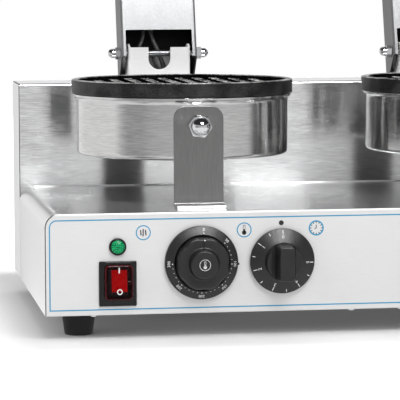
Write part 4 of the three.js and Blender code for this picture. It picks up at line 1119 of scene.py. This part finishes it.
def rim_block(width, height, back, front, corner, edge=0.0):
    """A block with rounded corners, drawn flat with its front up."""
    shape = block((-width / 2, -height / 2, back), (width / 2, height / 2, front))
    rounded(shape, corner, 8, along("z"))
    if edge:
        rounded(shape, edge, 5, lambda middle, way: abs(middle.z - front) < 0.01 * MM)
    return shape


boot_red = silicone("clear_red_silicone", "#0a0001", "#280307", 0.35)
# The boot's rounded front edges are a brighter, denser red: the thicker silicone there, and a painted glow of
# the lit rocker shining through it.
boot_edge_glow_red = silicone("red_silicone_edge_painted_glow", "#3e080e", "#6c141e", 0.8)
window_red = lit_window()
switch_black = moulded("black_nylon_switch", "#0d0d0e", 0.26, grain=0.45 * MM, depth=0.02 * MM, shine=0.4)
white_ink = ink("white_enamel_ink", "#f2f2f2")
switch_width, switch_height, switch_wall, switch_depth = mm(32.2, 38.5, 1.7, 25)
well_width, well_height, well_depth, rim_wide = mm(24.6, 30.6, 11, 4.6)
boot_width, boot_height, boot_proud, boot_wall, boot_corner = mm(24, 30, 7.5, 1.1, 4)
rocker_width, rocker_height, rocker_face, rocker_pivot, rocker_pin = mm(17, 21.6, 4, 7, 1.5)
rocker_front = rocker_face + rocker_pivot
inner_width, inner_height = boot_width - 2 * boot_wall, boot_height - 2 * boot_wall
well_place = at(*mm(0.4, 1.4, 0))
for side in pan_places:
    frame_place = face_place(f"{side}_switch_frame")
    flange = rim_block(switch_width, switch_height, clearance, *mm(1.9, 1.2, 0.5))
    rim = rim_block(well_width + rim_wide, well_height + rim_wide, *mm(1, 3), boot_corner + 1.6 * MM,
                    0.7 * MM)
    body = block((-well_width / 2 - switch_wall, -well_height / 2 - switch_wall, -switch_depth),
                 (well_width / 2 + switch_wall, well_height / 2 + switch_wall, 1.2 * MM))
    surround = []
    for solid in (flange, placed(rim, well_place), body):
        well = rim_block(well_width, well_height, -well_depth, 9 * MM, boot_corner)
        surround.append(carved(solid, placed(well, well_place)))
    piece(f"{side}_switch_surround", placed(joined(*surround), frame_place), switch_black, "root",
          [f"{side}_switch_frame"])
    boot = rim_block(boot_width, boot_height, -4 * MM, boot_proud, boot_corner, 1.6 * MM)
    hollow = rim_block(inner_width, inner_height, -9 * MM, boot_proud - boot_wall, boot_corner - boot_wall,
                       0.8 * MM)
    # The bevel faces round the boot's front take the brighter red, a painted glow.
    boot = faced(carved(boot, hollow),
                 lambda normal, middle: 0.3 < normal.z < 0.97 and middle.z > boot_proud - 1.4 * MM)
    piece(f"{side}_silicone_boot", placed(boot, frame_place, well_place), [boot_red, boot_edge_glow_red], "root",
          [f"{side}_switch_boot"])
    marks = [placed(stroke(mm(0, -2.4), mm(0, 2.4), MM), at(*mm(0.4, 12), boot_proud)),
             placed(ring(2.0 * MM, 0.85 * MM, 32), at(*mm(0.9, -6.4), boot_proud))]
    piece(f"{side}_switch_marks", placed(joined(*marks), frame_place), white_ink, "root")
    tilted = frame_place @ at(0, 0, -rocker_pivot) @ turn(-7, "X")
    rocker = rounded(block((-rocker_width / 2, -rocker_height / 2, -2 * MM),
                           (rocker_width / 2, rocker_height / 2, rocker_front - 0.5 * MM)), MM, 3,
                     lambda middle, way: True)
    pin_reach = well_width / 2 - clearance
    pins = placed(bar_shape(rocker_pin, -pin_reach, pin_reach), along_x)
    piece(f"{side}_rocker_body", placed(joined(rocker, pins), tilted), switch_black, f"{side}_rocker",
          [f"{side}_switch_rocker"])
    window = rounded(block((*mm(-5.6, -8.2), rocker_front - MM), (*mm(7.7, 10.6), rocker_front)), 0.4 * MM, 3,
                     lambda middle, way: middle.z > rocker_front - 0.1 * MM)
    piece(f"{side}_rocker_window", placed(window, tilted), window_red, f"{side}_rocker")


# Thermostats. A fixed conical ring of black phenolic carries the scale from 0 to 300, printed white. The
# knob inside it has eight shallow finger flutes, a raised round boss and a pointer groove with a dot.
def figure(text, height):
    """Printed digits about the origin, drawn flat with Y up."""
    words = bpy.data.curves.new("figure", "FONT")
    words.body = text
    words.size = height / 0.7               # a digit is 0.7 of the font's size high
    words.extrude = ink_height / 2
    words.resolution_u = 2
    shape = curve_shape(words)
    across = [v.co.x for v in shape.verts]
    up = [v.co.y for v in shape.verts]
    return placed(shape, at(-(min(across) + max(across)) / 2, -(min(up) + max(up)) / 2, 0))


def around(shape, radius, degrees, cone):
    """Lays a print on a conical face, at a radius and at an angle clockwise from the top."""
    inner_radius, inner_height, outer_radius, outer_height = cone
    slope = (inner_height - outer_height) / (outer_radius - inner_radius)
    height = inner_height - (radius - inner_radius) * slope
    return placed(shape, turn(-degrees, "Z"), at(0, radius, height),
                  Matrix.Rotation(-math.atan(slope), 4, "X"))


phenolic = moulded("grained_black_phenolic", "#131314", 0.38, grain=1.1 * MM, depth=0.4 * MM, shine=0.5)
dial_cone = mm(24.6, 7, 31, 4.2)
dial_marks = [(3, "0"), (49, "50"), (93, "100"), (138, "150"), (181, "200"), (224, "250"), (269, "300")]
figure_radius, scale_radius = mm(28.6, 25.6)
flutes, flute_depth, flute_start, flute_rise, flute_inside = 8, *mm(1.3, 8, 6, 17)
knob_face, boss_face = mm(15.02, 22.3)
for side in pan_places:
    dial_place = face_place(f"{side}_thermostat_body")
    dial = turned([mm(23.8, 2), mm(23.8, 6.6), mm(24.2, 7), mm(24.6, 7), mm(31, 4.2),
                   *arc(*mm(30.9, 3.5, 0.6), 60, 0, 3), mm(31.5, 0.3), mm(5.3, 0.3), mm(5.3, 2),
                   mm(23.8, 2)], 96)
    nub = around(block(mm(-0.8, -1.2, -3), mm(0.8, 1.6, 0)), 31.2 * MM, 93, dial_cone)
    piece(f"{side}_scale_ring", placed(joined(dial, nub), dial_place), phenolic, "root",
          [f"{side}_thermostat_dial"])
    prints = []
    for index, (degrees, text) in enumerate(dial_marks):
        prints.append(around(figure(text, 2.5 * MM), figure_radius, degrees, dial_cone))
        prints.append(around(dot(0.5 * MM), scale_radius, degrees, dial_cone))
        if 0 < index < len(dial_marks) - 1:
            division = (dial_marks[index + 1][0] - degrees) / 5
            prints += [around(dot(0.35 * MM), scale_radius, degrees + division * step, dial_cone)
                       for step in range(1, 5)]
    piece(f"{side}_scale_figures", placed(joined(*prints), dial_place), white_ink, "root")
    knob = turned([mm(3.3, 2.4), mm(22.4, 2.4), mm(23, 3), mm(22.9, 12.4),
                   *arc(*mm(20.6, 12.7, 2.3), 0, 90, 5), mm(14.6, 15),
                   *arc(*mm(14.6, 16.6, 1.6), -90, -165, 4), mm(12, 20.4),
                   *arc(*mm(10.6, 21.1, 1.4), 0, 90, 4), mm(9, 22.5), mm(0, 22.2), mm(0, 15.3),
                   mm(3.3, 15.3), mm(3.3, 2.4)], 128)
    for vert in knob.verts:
        reach = math.hypot(vert.co.x, vert.co.y)
        wave = (1 + math.cos(flutes * math.atan2(vert.co.x, vert.co.y))) / 2
        rise = min(1.0, max(0.0, (vert.co.z - flute_start) / flute_rise))
        if reach > flute_inside:
            vert.co.xy *= 1 - flute_depth * wave ** 2 * rise / reach
    groove = rounded(block(mm(-0.55, 12.5, 14.2), mm(0.55, 26, 18)), 0.4 * MM, 2,
                     along("y", lambda middle: middle.z < 15 * MM))
    piece(f"{side}_thermostat_fluted_knob", placed(carved(knob, groove), dial_place), phenolic,
          f"{side}_thermostat", [f"{side}_thermostat_knob"])
    marks = [placed(ring(4.9 * MM, 0.95 * MM), at(0, 0, boss_face)),
             placed(dot(*mm(0.7, 0.9, 20.3)), at(0, 0, knob_face))]
    marks += [placed(shape, at(0, 0, boss_face)) for shape in thermometer(2.9 * MM)]
    piece(f"{side}_thermostat_knob_marks", placed(joined(*marks), dial_place), white_ink,
          f"{side}_thermostat")


# Timers. A one-piece phenolic dial: a conical skirt numbered 0 to 5 minutes anticlockwise, a round boss
# and a drafted bar to turn it by, which points up when it is off.
timer_cone = mm(17.4, 9.2, 27.4, 4.6)
minute = 53.4                               # degrees
bar_draft = 0.9
bar_face, shaft_radius, tick_outside, numeral_radius = mm(28.5, 3.3, 27, 21.2)
for side in pan_places:
    timer_place = face_place(f"{side}_timer_body")
    skirt = turned([mm(3.3, 1.7), mm(27.6, 1.7), mm(28, 2.1), mm(28, 4), mm(27.4, 4.6), mm(17.4, 9.2),
                    *arc(*mm(17.4, 10.6, 1.4), -90, -170, 4), mm(15.7, 13.4),
                    *arc(*mm(14, 13.7, 1.6), 0, 90, 4), mm(0, 15.3), mm(3.3, 15.2), mm(3.3, 1.7)], 96)
    slots = [rounded(block(mm(start, -14.5, 9.6), mm(end, 14, 20)), 1.1 * MM, 4, along("z"))
             for start, end in ((-11.6, -6.9), (6.9, 9.3))]
    bar = block(mm(-7.2, -16.4, 9), (*mm(7.2, 15.6), bar_face))
    for vert in bar.verts:
        if vert.co.z > bar_face / 2:
            vert.co.xy *= bar_draft
    rounded(bar, 2.6 * MM, 5, lambda middle, way: abs(way.z) > 0.8)
    rounded(bar, 0.9 * MM, 3, lambda middle, way: abs(middle.z - bar_face) < 0.01 * MM)
    bar = carved(bar, bar_shape(shaft_radius, -MM, 15.2 * MM))
    piece(f"{side}_timer_dial", placed(joined(carved(skirt, *slots), bar), timer_place), phenolic,
          f"{side}_timer", [f"{side}_timer_knob"])
    prints = []
    for count in range(11):
        degrees = -count * minute / 2
        if count % 2 == 0:
            prints.append(around(figure(str(count // 2), 3 * MM), numeral_radius, degrees, timer_cone))
        tick = 3.6 * MM if count % 2 == 0 else 2.6 * MM
        prints.append(around(stroke((0, 0), (0, tick), 0.6 * MM), tick_outside - tick, degrees, timer_cone))
    piece(f"{side}_timer_marks", placed(joined(*prints), timer_place), white_ink, f"{side}_timer")


# Inner bodies. The thermostats and timers behind the panel are cased in off-white moulding material.
# They only show through the vents.
case_plastic = moulded("off_white_moulding", "#cfcabd", 0.5, grain=0.8 * MM, depth=0.04 * MM)
dressed([f"{side}_{kind}_body" for side in pan_places for kind in ("thermostat", "timer")], case_plastic)
